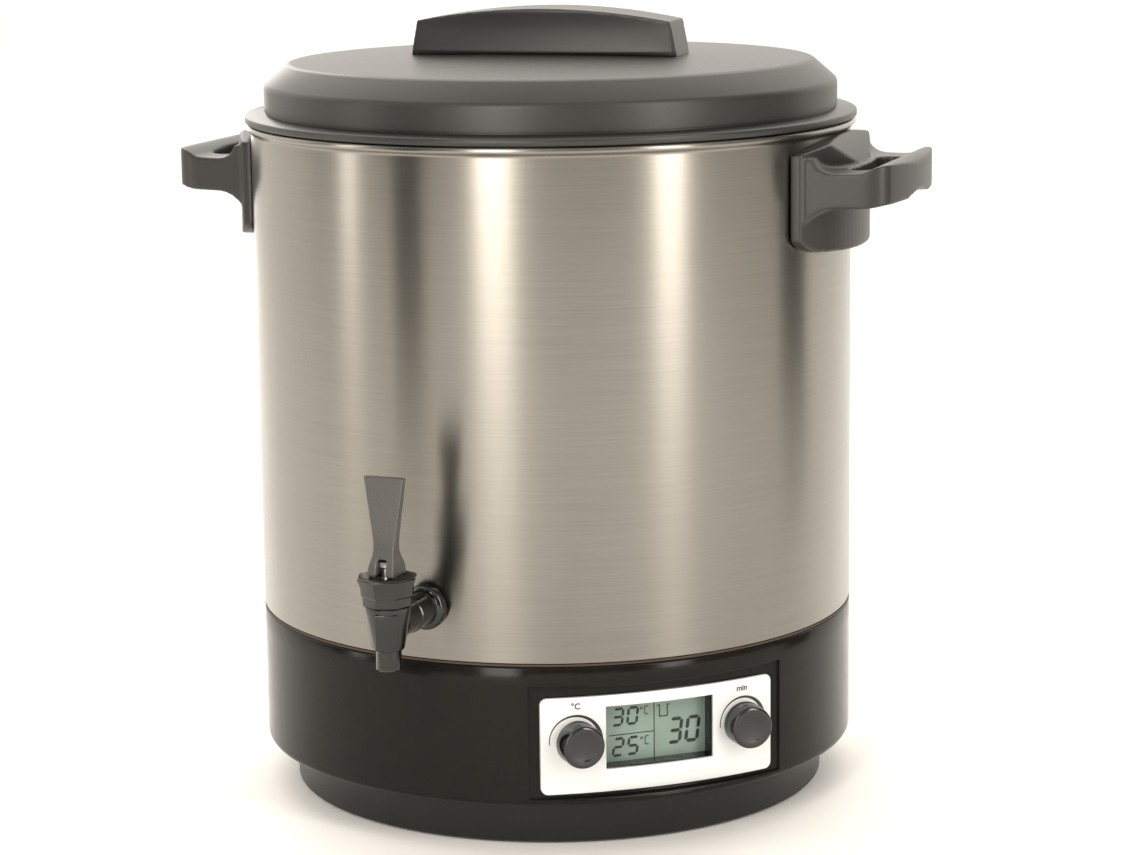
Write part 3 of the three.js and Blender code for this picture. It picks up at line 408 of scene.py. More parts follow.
def outward_seat(azimuth, x, w, z):
    """Turns a screw's shank from +Z to outwards, at a distance w from the axis, on a side of the body."""
    around = Matrix.Rotation(math.radians(azimuth), 4, "Z")
    return around @ Matrix.Translation(Vector((x, -w, z)) * MM) @ Matrix.Rotation(math.pi / 2, 4, "X")


for name in ("lid_handle_screw_1", "lid_handle_screw_2"):
    driven(name, (2.1, 4.5, 2.6, 17), upright_seat(name, 2.6))
for i in (1, 2, 3):
    driven(f"clamp_screw_{i}", (2.2, 4.5, 2.6, 8.6), upright_seat(f"clamp_screw_{i}", 2.6))
for i in (1, 2, 3, 4):
    driven(f"pan_screw_{i}", (2.1, 4.3, 2.4, 28), upright_seat(f"pan_screw_{i}", 2.4))
for side, azimuth in HANDLE_AZIMUTHS.items():
    for i, step in ((1, -HANDLE_SCREW_STEP), (2, HANDLE_SCREW_STEP)):
        seat = outward_seat(azimuth + step, 0, WALL_R - WALL - 0.6, HANDLE_SCREW_Z)
        driven(f"handle_{side}_screw_{i}", (2.5, 5.5, 3, 10), seat)


# ---- Side handles -----------------------------------------------------------------------------------------
# One-piece moulded handles: a back plate that hugs the vessel, two arms and a raised rounded grip with a
# finger slot behind it. Crossed outlines are fused and smoothed, which rounds the edges and fills the roots.

PLATE_HALF = 67.0
PLATE_CURVE = 124.9
PLATE_CENTRE = 68.6
PLATE_TOP = 390.0
ARM_BOTTOM = 360.3
ARM_TOP = 380.2
GRIP_W = 228.0
GRIP_BOTTOM = 362.5
GRIP_TOP = 385.0
GRIP_HALF = 50.0
ROOT_HALF = 65.5
SLOT_W = 203.75
SLOT_R = 8.25
SLOT_HALF = 8.5


def facing(radius, half_angle, centre=0.0, steps=24):
    """An arc in plan that faces -Y, from -x to +x."""
    return arc((0, -centre), radius, -90 - half_angle, -90 + half_angle, steps)


plate_half_angle = math.degrees(math.asin((PLATE_HALF + 0.1) / PLATE_CURVE))
wall_half_angle = math.degrees(math.asin(PLATE_HALF / (WALL_R + 0.6)))
plate_plan = facing(PLATE_CURVE, plate_half_angle, PLATE_CENTRE) + facing(WALL_R + 0.6, wall_half_angle)[::-1]
plate_front = [
    *bow((-PLATE_HALF - 3, 346), (-PLATE_HALF + 2, 336), (-PLATE_HALF + 14, 334), 8),
    *bow((-PLATE_HALF + 14, 334), (0, 330), (PLATE_HALF - 14, 334), 16),
    *bow((PLATE_HALF - 14, 334), (PLATE_HALF - 2, 336), (PLATE_HALF + 3, 346), 8),
    (PLATE_HALF + 3, 346),
    *bow((PLATE_HALF + 3, PLATE_TOP), (0, PLATE_TOP + 16), (-PLATE_HALF - 3, PLATE_TOP), 32),
    (-PLATE_HALF - 3, PLATE_TOP),
]
plate_side = [
    (150, 325), (195, 325), *bow((195, PLATE_TOP - 14), (191, PLATE_TOP + 1), (181, PLATE_TOP + 9), 10),
    (181, PLATE_TOP + 9), (150, PLATE_TOP + 12),
]
root_y = -math.sqrt(184**2 - ROOT_HALF**2)
grip_half_angle = math.degrees(math.asin(GRIP_HALF / GRIP_W))
grip_y = -math.cos(math.radians(grip_half_angle)) * GRIP_W
loop_plan = [
    (-ROOT_HALF, root_y), *bow((-60, -208), (-58, -221), (-GRIP_HALF, grip_y), 10),
    *facing(GRIP_W, grip_half_angle), *bow((GRIP_HALF, grip_y), (58, -221), (60, -208), 10)[1:],
    (60, -208), (ROOT_HALF, root_y), (0, -184),
]
loop_side = [
    *bow((171, 342), (177, ARM_BOTTOM), (194, ARM_BOTTOM), 12),
    *bow((208, ARM_BOTTOM), (215.5, ARM_BOTTOM + 0.5), (220, GRIP_BOTTOM), 8),
    *bow((225, GRIP_BOTTOM), (GRIP_W + 1, GRIP_BOTTOM), (GRIP_W + 1, GRIP_BOTTOM + 4), 6),
    *bow((GRIP_W + 1, GRIP_TOP - 6), (GRIP_W, GRIP_TOP), (221, GRIP_TOP), 8),
    *bow((221, GRIP_TOP), (215.5, GRIP_TOP), (209.5, ARM_TOP + 0.8), 8),
    *bow((209.5, ARM_TOP + 0.8), (205, ARM_TOP), (199, ARM_TOP), 6),
    *bow((194, ARM_TOP), (182, ARM_TOP), (180, PLATE_TOP - 0.5), 12), (172, PLATE_TOP - 0.5),
]
slot_x = math.sin(math.radians(SLOT_HALF)) * SLOT_W
slot_y = -math.cos(math.radians(SLOT_HALF)) * SLOT_W
finger_slot = [
    *facing(SLOT_W + SLOT_R, SLOT_HALF),
    *arc((slot_x, slot_y), SLOT_R, -90 + SLOT_HALF, 90 + SLOT_HALF, 12)[1:-1],
    *facing(SLOT_W - SLOT_R, SLOT_HALF)[::-1],
    *arc((-slot_x, slot_y), SLOT_R, 90 - SLOT_HALF, 270 - SLOT_HALF, 12)[1:-1],
]
notch = [(-30, 350), (30, 350), *bow((30, 361), (0, 371), (-30, 361), 16)]

for side, azimuth in HANDLE_AZIMUTHS.items():
    plate = carved(slab(plate_plan, 325, 405, "top"), [
        ("INTERSECT", slab(plate_front, 150, 200, "front")), ("INTERSECT", slab(plate_side, -75, 75, "side")),
    ])
    grip = carved(slab(loop_plan, 335, 392, "top"), [
        ("INTERSECT", slab(loop_side, -75, 75, "side")), ("DIFFERENCE", slab(finger_slot, 330, 400, "top")),
        ("DIFFERENCE", slab(notch, 219, 235, "front")),
    ])
    grip = carved(grip, [("UNION", plate)], 0.8, 10)
    bmesh.ops.rotate(grip, matrix=Matrix.Rotation(math.radians(azimuth), 3, "Z"), verts=grip.verts)
    finished(grip, f"grip_{side}", charcoal, "charcoal_plastic", f"handle_{side}", crease=70)


# ---- Base moulding ----------------------------------------------------------------------------------------
# A glossy black ABS ring that carries the vessel on its deck and holds the panel in a shallow recess.
# An open skin is spun, the recess is opened in it and drawn in to the window, and then it gets its wall.

PANEL_AZ = 36.0
PLATE_R = 290.0
PLATE_W = 173.2
RECESS_HALF = 77.5
RECESS_Z = (32.0, 98.0)
WINDOW_X = (-34.0, 32.0)
WINDOW_Z = (47.5, 84.5)
TUNNEL_W = 159.0
BASE_STEPS = 360

# Polished black ABS: a deep, nearly mirror-like gloss with the slow ripple that a large moulding has.
gloss_abs, tree, coords = new_material("polished_black_abs")
ripple = add(tree, "ShaderNodeTexNoise", {"Vector": coords, "Scale": 1 / (34 * MM), "Detail": 1.0})
haze = add(tree, "ShaderNodeTexNoise", {"Vector": coords, "Scale": 1 / (9 * MM), "Detail": 4.0})
bump = add(tree, "ShaderNodeBump", {"Height": ripple.outputs["Fac"], "Strength": 0.5, "Distance": 0.25 * MM})
tint = add(tree, "ShaderNodeMix", {
    "Factor": haze.outputs["Fac"], "A": linear("#131210"), "B": linear("#1b1917")}, data_type="RGBA")
rough = add(tree, "ShaderNodeMapRange", {
    "Value": haze.outputs["Fac"], "From Min": 0.3, "From Max": 0.7, "To Min": 0.11, "To Max": 0.2})
shader = add(tree, "ShaderNodeBsdfPrincipled", {
    "Base Color": tint.outputs["Result"], "Roughness": rough.outputs["Result"], "IOR": 1.54,
    "Specular IOR Level": 0.12, "Normal": bump.outputs[0]})
add(tree, "ShaderNodeOutputMaterial", {"Surface": shader.outputs["BSDF"]})


def panel_place(x, w, z):
    """A point drawn in the panel's front view, x across, w out from the axis and z up, in its place."""
    return Matrix.Rotation(math.radians(PANEL_AZ), 3, "Z") @ (Vector((x, -w, z)) * MM)


def curved_w(x, depth=0.0):
    """How far out the panel's curved face is at x, or a surface that lies `depth` behind it."""
    return PLATE_W - PLATE_R + math.sqrt((PLATE_R - depth) ** 2 - x * x)


skin = spun([
    (132, 109.9), (179.1, 109.9), (179.7, 109.6), (WALL_R, 109.0), (WALL_R, RECESS_Z[1]),
    (WALL_R, RECESS_Z[0]), (WALL_R, 31.2), (179.8, 29.9), (179.1, 28.8), (178, 28.2), (176.5, 28), (164, 28),
], BASE_STEPS, closed=False)
bmesh.ops.rotate(skin, matrix=Matrix.Rotation(math.radians(180 / BASE_STEPS), 3, "Z"), verts=skin.verts)
wall_face = max(skin.faces, key=lambda f: f.calc_area())
if wall_face.normal.dot(wall_face.calc_center_median() * Vector((1, 1, 0))) < 0:
    bmesh.ops.reverse_faces(skin, faces=skin.faces)
recess_angle = math.degrees(math.asin(RECESS_HALF / WALL_R))


def in_recess(point):
    across = abs(math.degrees(math.atan2(point.x, -point.y)) - PANEL_AZ)
    return across < recess_angle + 0.1 and RECESS_Z[0] - 0.1 < point.z / MM < RECESS_Z[1] + 0.1


opened = [
    f for f in skin.faces if in_recess(f.calc_center_median()) and all(in_recess(v.co) for v in f.verts)
]
bmesh.ops.delete(skin, geom=opened, context="FACES")
edge_loop = [e for e in skin.edges if e.is_boundary and all(in_recess(v.co) for v in e.verts)]
to_panel = Matrix.Rotation(math.radians(-PANEL_AZ), 3, "Z")
recess_mid, recess_tall = sum(RECESS_Z) / 2, (RECESS_Z[1] - RECESS_Z[0]) / 2
window_mid, window_half = sum(WINDOW_X) / 2, (WINDOW_X[1] - WINDOW_X[0]) / 2
window_z, window_tall = sum(WINDOW_Z) / 2, (WINDOW_Z[1] - WINDOW_Z[0]) / 2
ring = {vertex: to_panel @ vertex.co / MM for edge in edge_loop for vertex in edge.verts}
ring = {vertex: (at.x / RECESS_HALF, (at.z - recess_mid) / recess_tall) for vertex, at in ring.items()}
sides = [tuple(edge.verts) for edge in edge_loop]
for inward, w in ((0, None), (0.25, None), (0.5, None), (0.75, None), (1, None), (1, TUNNEL_W)):
    # Each ring of the recess's floor is a rectangle between the recess's edge and the window's.
    copies = {}
    for vertex, (u, v) in ring.items():
        x = inward * window_mid + u * (RECESS_HALF + inward * (window_half - RECESS_HALF))
        z = (recess_mid + inward * (window_z - recess_mid)
             + v * (recess_tall + inward * (window_tall - recess_tall)))
        copies[vertex] = skin.verts.new(panel_place(x, w or curved_w(x, 2.3), z))
    for a, b in sides:
        skin.faces.new((a, b, copies[b], copies[a]))
    ring = {copies[vertex]: spot for vertex, spot in ring.items()}
    sides = [(copies[a], copies[b]) for a, b in sides]
bmesh.ops.recalc_face_normals(skin, faces=skin.faces)
if max(skin.faces, key=lambda f: f.calc_center_median().z).normal.z < 0:
    bmesh.ops.reverse_faces(skin, faces=skin.faces)
soften(skin, 0.7, angle=35)
base = finished(skin, "base_moulding", gloss_abs, "gloss_black_plastic", "base_housing", crease=50)
wall = base.modifiers.new("wall", "SOLIDIFY")
wall.thickness = 2.4 * MM
wall.offset = -1


# ---- Plinth pan and feet ----------------------------------------------------------------------------------
# The pan closes the base from below: a set-back satin plinth, a floor and a shallow centre pad.
# Four rubber feet are held by the long screws that pass through them and the pan into the base.

PLINTH_R = 163.0

# Satin black polypropylene, slightly greyed: it shows a broad soft reflection and a faint moulded grain.
satin_black, tree, coords = new_material("satin_black_polypropylene")
fine = add(tree, "ShaderNodeTexNoise", {"Vector": coords, "Scale": 1 / (0.8 * MM), "Detail": 3.0})
cloud = add(tree, "ShaderNodeTexNoise", {"Vector": coords, "Scale": 1 / (30 * MM), "Detail": 3.0})
bump = add(tree, "ShaderNodeBump", {"Height": fine.outputs["Fac"], "Strength": 0.15, "Distance": 0.04 * MM})
tint = add(tree, "ShaderNodeMix", {
    "Factor": cloud.outputs["Fac"], "A": linear("#191816"), "B": linear("#21201e")}, data_type="RGBA")
rough = add(tree, "ShaderNodeMapRange", {
    "Value": fine.outputs["Fac"], "From Min": 0.3, "From Max": 0.7, "To Min": 0.3, "To Max": 0.4})
shader = add(tree, "ShaderNodeBsdfPrincipled", {
    "Base Color": tint.outputs["Result"], "Roughness": rough.outputs["Result"], "IOR": 1.49,
    "Specular IOR Level": 0.3, "Normal": bump.outputs[0]})
add(tree, "ShaderNodeOutputMaterial", {"Surface": shader.outputs["BSDF"]})

pan = spun([
    (0, 3), (35, 3), (36.5, 3.6), (39.5, 6.6), (41, 7), (160.4, 7), (160.4, 2), (160.9, 1.5), (161.4, 1.5),
    (161.9, 2.1), (PLINTH_R, 22.6), (PLINTH_R, 27.1), (162.4, 27.7), (161.4, 27.7), (160.4, 12), (158.4, 9.5),
    (39.5, 9.5), (35, 5.5), (0, 5.5),
], closed=False)
finished(pan, "plinth_pan", satin_black, "satin_black_plastic", "base_pan", crease=40)

# Black nitrile rubber: matt and slightly greyed by dust.
foot_rubber, tree, coords = new_material("black_nitrile_rubber")
dusty = add(tree, "ShaderNodeTexNoise", {"Vector": coords, "Scale": 1 / (1.2 * MM), "Detail": 3.0})
tint = add(tree, "ShaderNodeMix", {
    "Factor": dusty.outputs["Fac"], "A": linear("#1b1b1b"), "B": linear("#292827")}, data_type="RGBA")
rough = add(tree, "ShaderNodeMapRange", {
    "Value": dusty.outputs["Fac"], "From Min": 0.3, "From Max": 0.7, "To Min": 0.7, "To Max": 0.85})
shader = add(tree, "ShaderNodeBsdfPrincipled", {
    "Base Color": tint.outputs["Result"], "Roughness": rough.outputs["Result"], "IOR": 1.52})
add(tree, "ShaderNodeOutputMaterial", {"Surface": shader.outputs["BSDF"]})

for i in (1, 2, 3, 4):
    low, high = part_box(f"foot_{i}")
    foot = spun([
        (4.8, 0.4), (5.2, 0), (10.4, 0), (11.5, 0.5), (12, 1.6), (12, 6.7), (2.5, 6.7), (2.5, 4), (4.8, 4),
    ], 48)
    bmesh.ops.translate(foot, verts=foot.verts, vec=((low.x + high.x) / 2, (low.y + high.y) / 2, low.z))
    finished(foot, f"rubber_foot_{i}", foot_rubber, "foot_rubber", f"foot_{i}")


# ---- Panel plate ------------------------------------------------------------------------------------------
# A white lacquered plate, bent to a wide curve, with a window, two shaft holes and its printed scales.
# A flat plate with its holes is filled, given its thickness, sliced every 3 mm and bent.

PANEL_HALF = 71.0
PANEL_Z = (34.5, 91.0)
PANEL_T = 2.0
KNOB_X = 51.5
KNOB_Z = 65.5

# White lacquer under a clear coat: a bright plain white with soft reflections and a faint orange peel.
white_lacquer, tree, coords = new_material("white_lacquered_sheet")
peel = add(tree, "ShaderNodeTexNoise", {"Vector": coords, "Scale": 1 / (1.6 * MM), "Detail": 2.0})
bump = add(tree, "ShaderNodeBump", {"Height": peel.outputs["Fac"], "Strength": 0.08, "Distance": 0.03 * MM})
tint = add(tree, "ShaderNodeMix", {
    "Factor": peel.outputs["Fac"], "A": linear("#d6d8d9"), "B": linear("#dddedd")}, data_type="RGBA")
rough = add(tree, "ShaderNodeMapRange", {
    "Value": peel.outputs["Fac"], "From Min": 0.3, "From Max": 0.7, "To Min": 0.18, "To Max": 0.24})
shader = add(tree, "ShaderNodeBsdfPrincipled", {
    "Base Color": tint.outputs["Result"], "Roughness": rough.outputs["Result"], "Coat Weight": 0.5,
    "Coat Roughness": 0.06, "Normal": bump.outputs[0]})
add(tree, "ShaderNodeOutputMaterial", {"Surface": shader.outputs["BSDF"]})


def rounded_rectangle(x0, z0, x1, z1, r, steps=8):
    corners = ((x1 - r, z0 + r, -90), (x1 - r, z1 - r, 0), (x0 + r, z1 - r, 90), (x0 + r, z0 + r, 180))
    return [point for x, z, start in corners for point in arc((x, z), r, start, start + 90, steps)]


def sheet_with_holes(outlines, thickness):
    """A flat sheet in x and z, from y = 0 back to its thickness, with holes where the inner outlines are."""
    bm = bmesh.new()
    edges = []
    for outline in outlines:
        ring = [bm.verts.new((x * MM, 0, z * MM)) for x, z in outline]
        edges += [bm.edges.new(pair) for pair in zip(ring, ring[1:] + ring[:1])]
    bmesh.ops.triangle_fill(bm, use_beauty=True, use_dissolve=False, edges=edges)
    grown = bmesh.ops.extrude_face_region(bm, geom=bm.faces[:])
    back = [g for g in grown["geom"] if isinstance(g, bmesh.types.BMVert)]
    bmesh.ops.translate(bm, verts=back, vec=(0, thickness * MM, 0))
    bmesh.ops.recalc_face_normals(bm, faces=bm.faces)
    return bm


def bent(bm, proud=0.0, slice_mm=3.0):
    """Slices a flat sheet and wraps it onto the panel's curve, its face `proud` of the plate's face."""
    xs = [v.co.x / MM for v in bm.verts]
    x = math.ceil(min(xs) / slice_mm) * slice_mm
    while x < max(xs):
        bmesh.ops.bisect_plane(bm, geom=bm.verts[:] + bm.edges[:] + bm.faces[:], dist=1e-7,
                               plane_co=(x * MM, 0, 0), plane_no=(1, 0, 0))
        x += slice_mm
    for vertex in bm.verts:
        x, behind, z = vertex.co / MM
        vertex.co = panel_place(x, curved_w(x) + proud - behind, z)
    return bm


window_outline = rounded_rectangle(WINDOW_X[0], WINDOW_Z[0], WINDOW_X[1], WINDOW_Z[1], 0.5, 3)
shaft_holes = [arc((x, KNOB_Z), 4.2, 0, 345, 23) for x in (-KNOB_X, KNOB_X)]
plate_outline = rounded_rectangle(-PANEL_HALF, PANEL_Z[0], PANEL_HALF, PANEL_Z[1], 4)
plate = sheet_with_holes([plate_outline, window_outline, *shaft_holes], PANEL_T)
face_edges = [e for e in plate.edges if all(v.co.y < 1e-6 for v in e.verts) and e.calc_face_angle(0) > 1]
bmesh.ops.bevel(plate, geom=face_edges, offset=0.35 * MM, offset_type="OFFSET", affect="EDGES", segments=3,
                profile=0.5, material=-1, clamp_overlap=True)
finished(bent(plate), "white_plate", white_lacquer, "white_panel", "panel_fascia", crease=40)

# Screen-printed scales: a crescent that thickens clockwise round each knob, with its unit above it.
print_ink, tree, coords = new_material("black_screen_ink")
ink_film = add(tree, "ShaderNodeTexNoise", {"Vector": coords, "Scale": 1 / (0.6 * MM), "Detail": 3.0})
tint = add(tree, "ShaderNodeMix", {
    "Factor": ink_film.outputs["Fac"], "A": linear("#191918"), "B": linear("#252524")}, data_type="RGBA")
shader = add(tree, "ShaderNodeBsdfPrincipled", {"Base Color": tint.outputs["Result"], "Roughness": 0.45})
add(tree, "ShaderNodeOutputMaterial", {"Surface": shader.outputs["BSDF"]})

INK_PROUD = 0.12


def crescent(cx, cz, radius, thin=0.5, thick=2.9, start=186, end=-8, steps=48):
    rim = arc((cx, cz), radius, start, end, steps)
    inside = []
    for i, (x, z) in enumerate(rim):
        keep = 1 - (thin + (thick - thin) * (i / steps) ** 1.6) / radius
        inside.append((cx + (x - cx) * keep, cz + (z - cz) * keep))
    return rim + inside[::-1]


def lettering(text, x, z, height):
    """A word or unit as a flat mesh, centred at x and z."""
    curve = bpy.data.curves.new("lettering", "FONT")
    curve.body = text
    curve.size = height * 1.4 * MM
    curve.align_x = "CENTER"
    curve.extrude = INK_PROUD / 2 * MM
    curve.offset = 0.1 * MM
    made = bpy.data.objects.new("lettering", curve)
    mesh = bpy.data.meshes.new_from_object(made)
    bm = bmesh.new()
    bm.from_mesh(mesh)
    bmesh.ops.remove_doubles(bm, verts=bm.verts, dist=1e-6)
    bmesh.ops.transform(bm, matrix=Matrix.Rotation(math.pi / 2, 4, "X"), verts=bm.verts)
    bmesh.ops.translate(bm, verts=bm.verts, vec=Vector((x, INK_PROUD / 2, z)) * MM)
    bpy.data.objects.remove(made)
    bpy.data.curves.remove(curve)
    bpy.data.meshes.remove(mesh)
    return bm


for name, cx, unit, unit_x, radius in (("temperature", -KNOB_X + 0.4, "°C", -51.3, 15.4),
                                       ("timer", KNOB_X + 0.2, "min", 51.1, 15.4)):
    scale = bent(sheet_with_holes([crescent(cx, KNOB_Z, radius)], INK_PROUD), INK_PROUD)
    finished(scale, f"{name}_scale", print_ink, "component_plastic", rides_on="body", crease=40)
    unit_print = bent(lettering(unit, unit_x, 84.2, 3.5), INK_PROUD)
    finished(unit_print, f"{name}_unit", print_ink, "component_plastic", rides_on="body", crease=40)


# ---- Display ----------------------------------------------------------------------------------------------
# A reflective liquid-crystal display behind a clear acrylic window: two temperatures at the left, a time
# at the right and a pot symbol. The segments stand 0.1 mm proud of the glass on the display's face.

LCD_FACE_W = 158.7
SEGMENT_PROUD = 0.1

# Grey-green liquid-crystal glass over its diffuser, a little brighter in the middle than at its edges.
lcd_glass, tree, coords = new_material("grey_green_lcd_glass")
cells = add(tree, "ShaderNodeTexNoise", {"Vector": coords, "Scale": 1 / (14 * MM), "Detail": 1.0})
tint = add(tree, "ShaderNodeMix", {
    "Factor": cells.outputs["Fac"], "A": linear("#7f958a"), "B": linear("#94a89d")}, data_type="RGBA")
shader = add(tree, "ShaderNodeBsdfPrincipled", {
    "Base Color": tint.outputs["Result"], "Roughness": 0.28, "IOR": 1.5})
add(tree, "ShaderNodeOutputMaterial", {"Surface": shader.outputs["BSDF"]})
coated(lcd_glass, "lcd_module")

# Clear acrylic: it only shows as a faint sheen over the display.
clear_acrylic, tree, coords = new_material("clear_acrylic_sheet")
smear = add(tree, "ShaderNodeTexNoise", {"Vector": coords, "Scale": 1 / (20 * MM), "Detail": 3.0})
rough = add(tree, "ShaderNodeMapRange", {
    "Value": smear.outputs["Fac"], "From Min": 0.3, "From Max": 0.7, "To Min": 0.03, "To Max": 0.07})
shader = add(tree, "ShaderNodeBsdfPrincipled", {
    "Base Color": linear("#2c3330"), "Roughness": rough.outputs["Result"], "IOR": 1.49, "Alpha": 0.06})
add(tree, "ShaderNodeOutputMaterial", {"Surface": shader.outputs["BSDF"]})
clear_acrylic.surface_render_method = "BLENDED"
coated(clear_acrylic, "display_window")

# A switched-on liquid-crystal bar: nearly black, with the glass's own low sheen.
lcd_ink, tree, coords = new_material("dark_lcd_segment")
fade = add(tree, "ShaderNodeTexNoise", {"Vector": coords, "Scale": 1 / (4 * MM), "Detail": 3.0})
tint = add(tree, "ShaderNodeMix", {
    "Factor": fade.outputs["Fac"], "A": linear("#0f1513"), "B": linear("#19201d")}, data_type="RGBA")
shader = add(tree, "ShaderNodeBsdfPrincipled", {"Base Color": tint.outputs["Result"], "Roughness": 0.35})
add(tree, "ShaderNodeOutputMaterial", {"Surface": shader.outputs["BSDF"]})

# Which of the seven bars a numeral lights: top, upper left and right, middle, lower left and right, foot.
NUMERAL_BARS = {"0": "1110111", "2": "1011101", "3": "1011011", "5": "1101011"}
SLANT = 0.12


def bar_outline(x0, z0, x1, z1, width):
    """A bar with pointed ends from one point to another."""
    along = Vector((x1 - x0, z1 - z0)).normalized() * width / 2
    side = Vector((-along.y, along.x))
    ends = [Vector((x0, z0)), Vector((x1, z1))]
    return [tuple(p) for p in (ends[0], ends[0] + along - side, ends[1] - along - side, ends[1],
                               ends[1] - along + side, ends[0] + along + side)]


def numeral(digit, x, z, width, height, stroke):
    """The lit bars of a seven-bar numeral whose lower left corner is at x and z, leaning to the right."""
    half = height / 2
    gap = stroke * 0.12
    spots = [(0, height, width, height), (0, half, 0, height), (width, half, width, height),
             (0, half, width, half), (0, 0, 0, half), (width, 0, width, half), (0, 0, width, 0)]
    lit = []
    for on, (x0, z0, x1, z1) in zip(NUMERAL_BARS[digit], spots):
        if on == "1":
            shift = Vector((x1 - x0, z1 - z0)).normalized() * gap
            lit.append([(x + u + v * SLANT, z + v) for u, v in
                        bar_outline(x0 + shift.x, z0 + shift.y, x1 - shift.x, z1 - shift.y, stroke)])
    return lit


def degrees_c(x, z, size):
    """A small ring and an open C of four bars."""
    ring = arc((x, z + size * 0.8), size * 0.2, 0, 360, 12)
    hole = arc((x, z + size * 0.8), size * 0.1, 360, 0, 12)
    left, right = x + size * 0.45, x + size * 0.95
    bars = [(left, z, right, z), (left, z, left, z + size / 2), (left, z + size / 2, left, z + size),
            (left, z + size, right, z + size)]
    return [ring + hole] + [bar_outline(*bar, size * 0.13) for bar in bars]


drawn = [
    *numeral("3", -25.2, 69, 5.6, 9.4, 1.6), *numeral("0", -16.2, 69, 5.6, 9.4, 1.6),
    *numeral("2", -25.2, 51, 5.6, 9.8, 1.6), *numeral("5", -16.2, 51, 5.6, 9.8, 1.6),
    *numeral("3", 9.2, 55, 6.8, 13.8, 2.1), *numeral("0", 20, 55, 6.8, 13.8, 2.1),
    *degrees_c(-7.4, 73.8, 4.6), *degrees_c(-7.4, 55.8, 4.8),
    # The lines that part the display's fields.
    [(0.1, 43.8), (0.7, 43.8), (0.7, 80), (0.1, 80)],
    [(-27.6, 62.8), (0.1, 62.8), (0.1, 63.4), (-27.6, 63.4)],
    # The pot symbol: a U with turned-out lips.
    [(2.2, 77.7), (3.4, 77.7), (3.4, 71), (9, 71), (9, 77.7), (10.2, 77.7), (10.2, 78.4), (8.3, 78.4),
     (8.3, 71.7), (4.1, 71.7), (4.1, 78.4), (2.2, 78.4)],
]
segments = bmesh.new()
for shape in drawn:
    face = segments.faces.new([segments.verts.new((x * MM, 0, z * MM)) for x, z in shape])
    grown = bmesh.ops.extrude_face_region(segments, geom=[face])
    back = [g for g in grown["geom"] if isinstance(g, bmesh.types.BMVert)]
    bmesh.ops.translate(segments, verts=back, vec=(0, (SEGMENT_PROUD - 0.02) * MM, 0))
bmesh.ops.recalc_face_normals(segments, faces=segments.faces)
for vertex in segments.verts:
    x, behind, z = vertex.co / MM
    vertex.co = panel_place(x, LCD_FACE_W + SEGMENT_PROUD - behind, z)
finished(segments, "lcd_segments", lcd_ink, "lcd_glass", rides_on="body")


# ---- Knobs ------------------------------------------------------------------------------------------------
# Two plain round knobs in polished black, pushed onto their spindles: slightly tapered sides, a rounded
# rim and a dished face. Each is spun about Z and laid down to face outwards.

# Polished black phenolic: a hard glassy black with small sharp highlights.
knob_gloss, tree, coords = new_material("polished_black_phenolic")
swirl = add(tree, "ShaderNodeTexNoise", {"Vector": coords, "Scale": 1 / (5 * MM), "Detail": 3.0})
tint = add(tree, "ShaderNodeMix", {
    "Factor": swirl.outputs["Fac"], "A": linear("#0f0f11"), "B": linear("#18181a")}, data_type="RGBA")
rough = add(tree, "ShaderNodeMapRange", {
    "Value": swirl.outputs["Fac"], "From Min": 0.3, "From Max": 0.7, "To Min": 0.07, "To Max": 0.13})
shader = add(tree, "ShaderNodeBsdfPrincipled", {
    "Base Color": tint.outputs["Result"], "Roughness": rough.outputs["Result"], "IOR": 1.58})
add(tree, "ShaderNodeOutputMaterial", {"Surface": shader.outputs["BSDF"]})

for name, x in (("temperature", -KNOB_X), ("timer", KNOB_X)):
    knob = spun([
        (3.4, 171.1), (12.4, 171.1), (12.7, 171.4), (12.7, 172), (12.4, 181.8),
        *arc((10.9, 182.4), 1.4, -10, 90, 6),
        (9.9, 183.9), (8, 183.45), (4, 183.05), (0, 182.9), (0, 180.4), (3.4, 180.4),
    ], 96, closed=False)
    knob_floor = [e for e in knob.edges if e.is_boundary]
    bmesh.ops.edgeloop_fill(knob, edges=knob_floor)
    bmesh.ops.recalc_face_normals(knob, faces=knob.faces)
    bmesh.ops.transform(knob, matrix=outward_seat(PANEL_AZ, x, 0, KNOB_Z), verts=knob.verts)
    finished(knob, f"{name}_dial_knob", knob_gloss, "knob_plastic", f"{name}_knob", crease=45)


# ---- Tap body ---------------------------------------------------------------------------------------------
# The tap's body is one glossy moulding: a tapered chamber with a flat rib down its front, a short spout
# below, and a sleeve and domed collar that draw up against the vessel. Spun solids are fused with the ribs.

TAP_AZ = -8.0
TAP_W = 230.0
TAP_Z = 143.0
SPOUT_Z = 118.5

# Polished black acetal: a deep gloss with the faint flow marks of a thick moulding.
tap_gloss, tree, coords = new_material("polished_black_acetal")
flow = add(tree, "ShaderNodeTexNoise", {"Vector": coords, "Scale": 1 / (7 * MM), "Detail": 2.0})
bump = add(tree, "ShaderNodeBump", {"Height": flow.outputs["Fac"], "Strength": 0.25, "Distance": 0.12 * MM})
tint = add(tree, "ShaderNodeMix", {
    "Factor": flow.outputs["Fac"], "A": linear("#0a0a09"), "B": linear("#121110")}, data_type="RGBA")
rough = add(tree, "ShaderNodeMapRange", {
    "Value": flow.outputs["Fac"], "From Min": 0.3, "From Max": 0.7, "To Min": 0.09, "To Max": 0.16})
shader = add(tree, "ShaderNodeBsdfPrincipled", {
    "Base Color": tint.outputs["Result"], "Roughness": rough.outputs["Result"], "IOR": 1.54,
    "Normal": bump.outputs[0]})
add(tree, "ShaderNodeOutputMaterial", {"Surface": shader.outputs["BSDF"]})


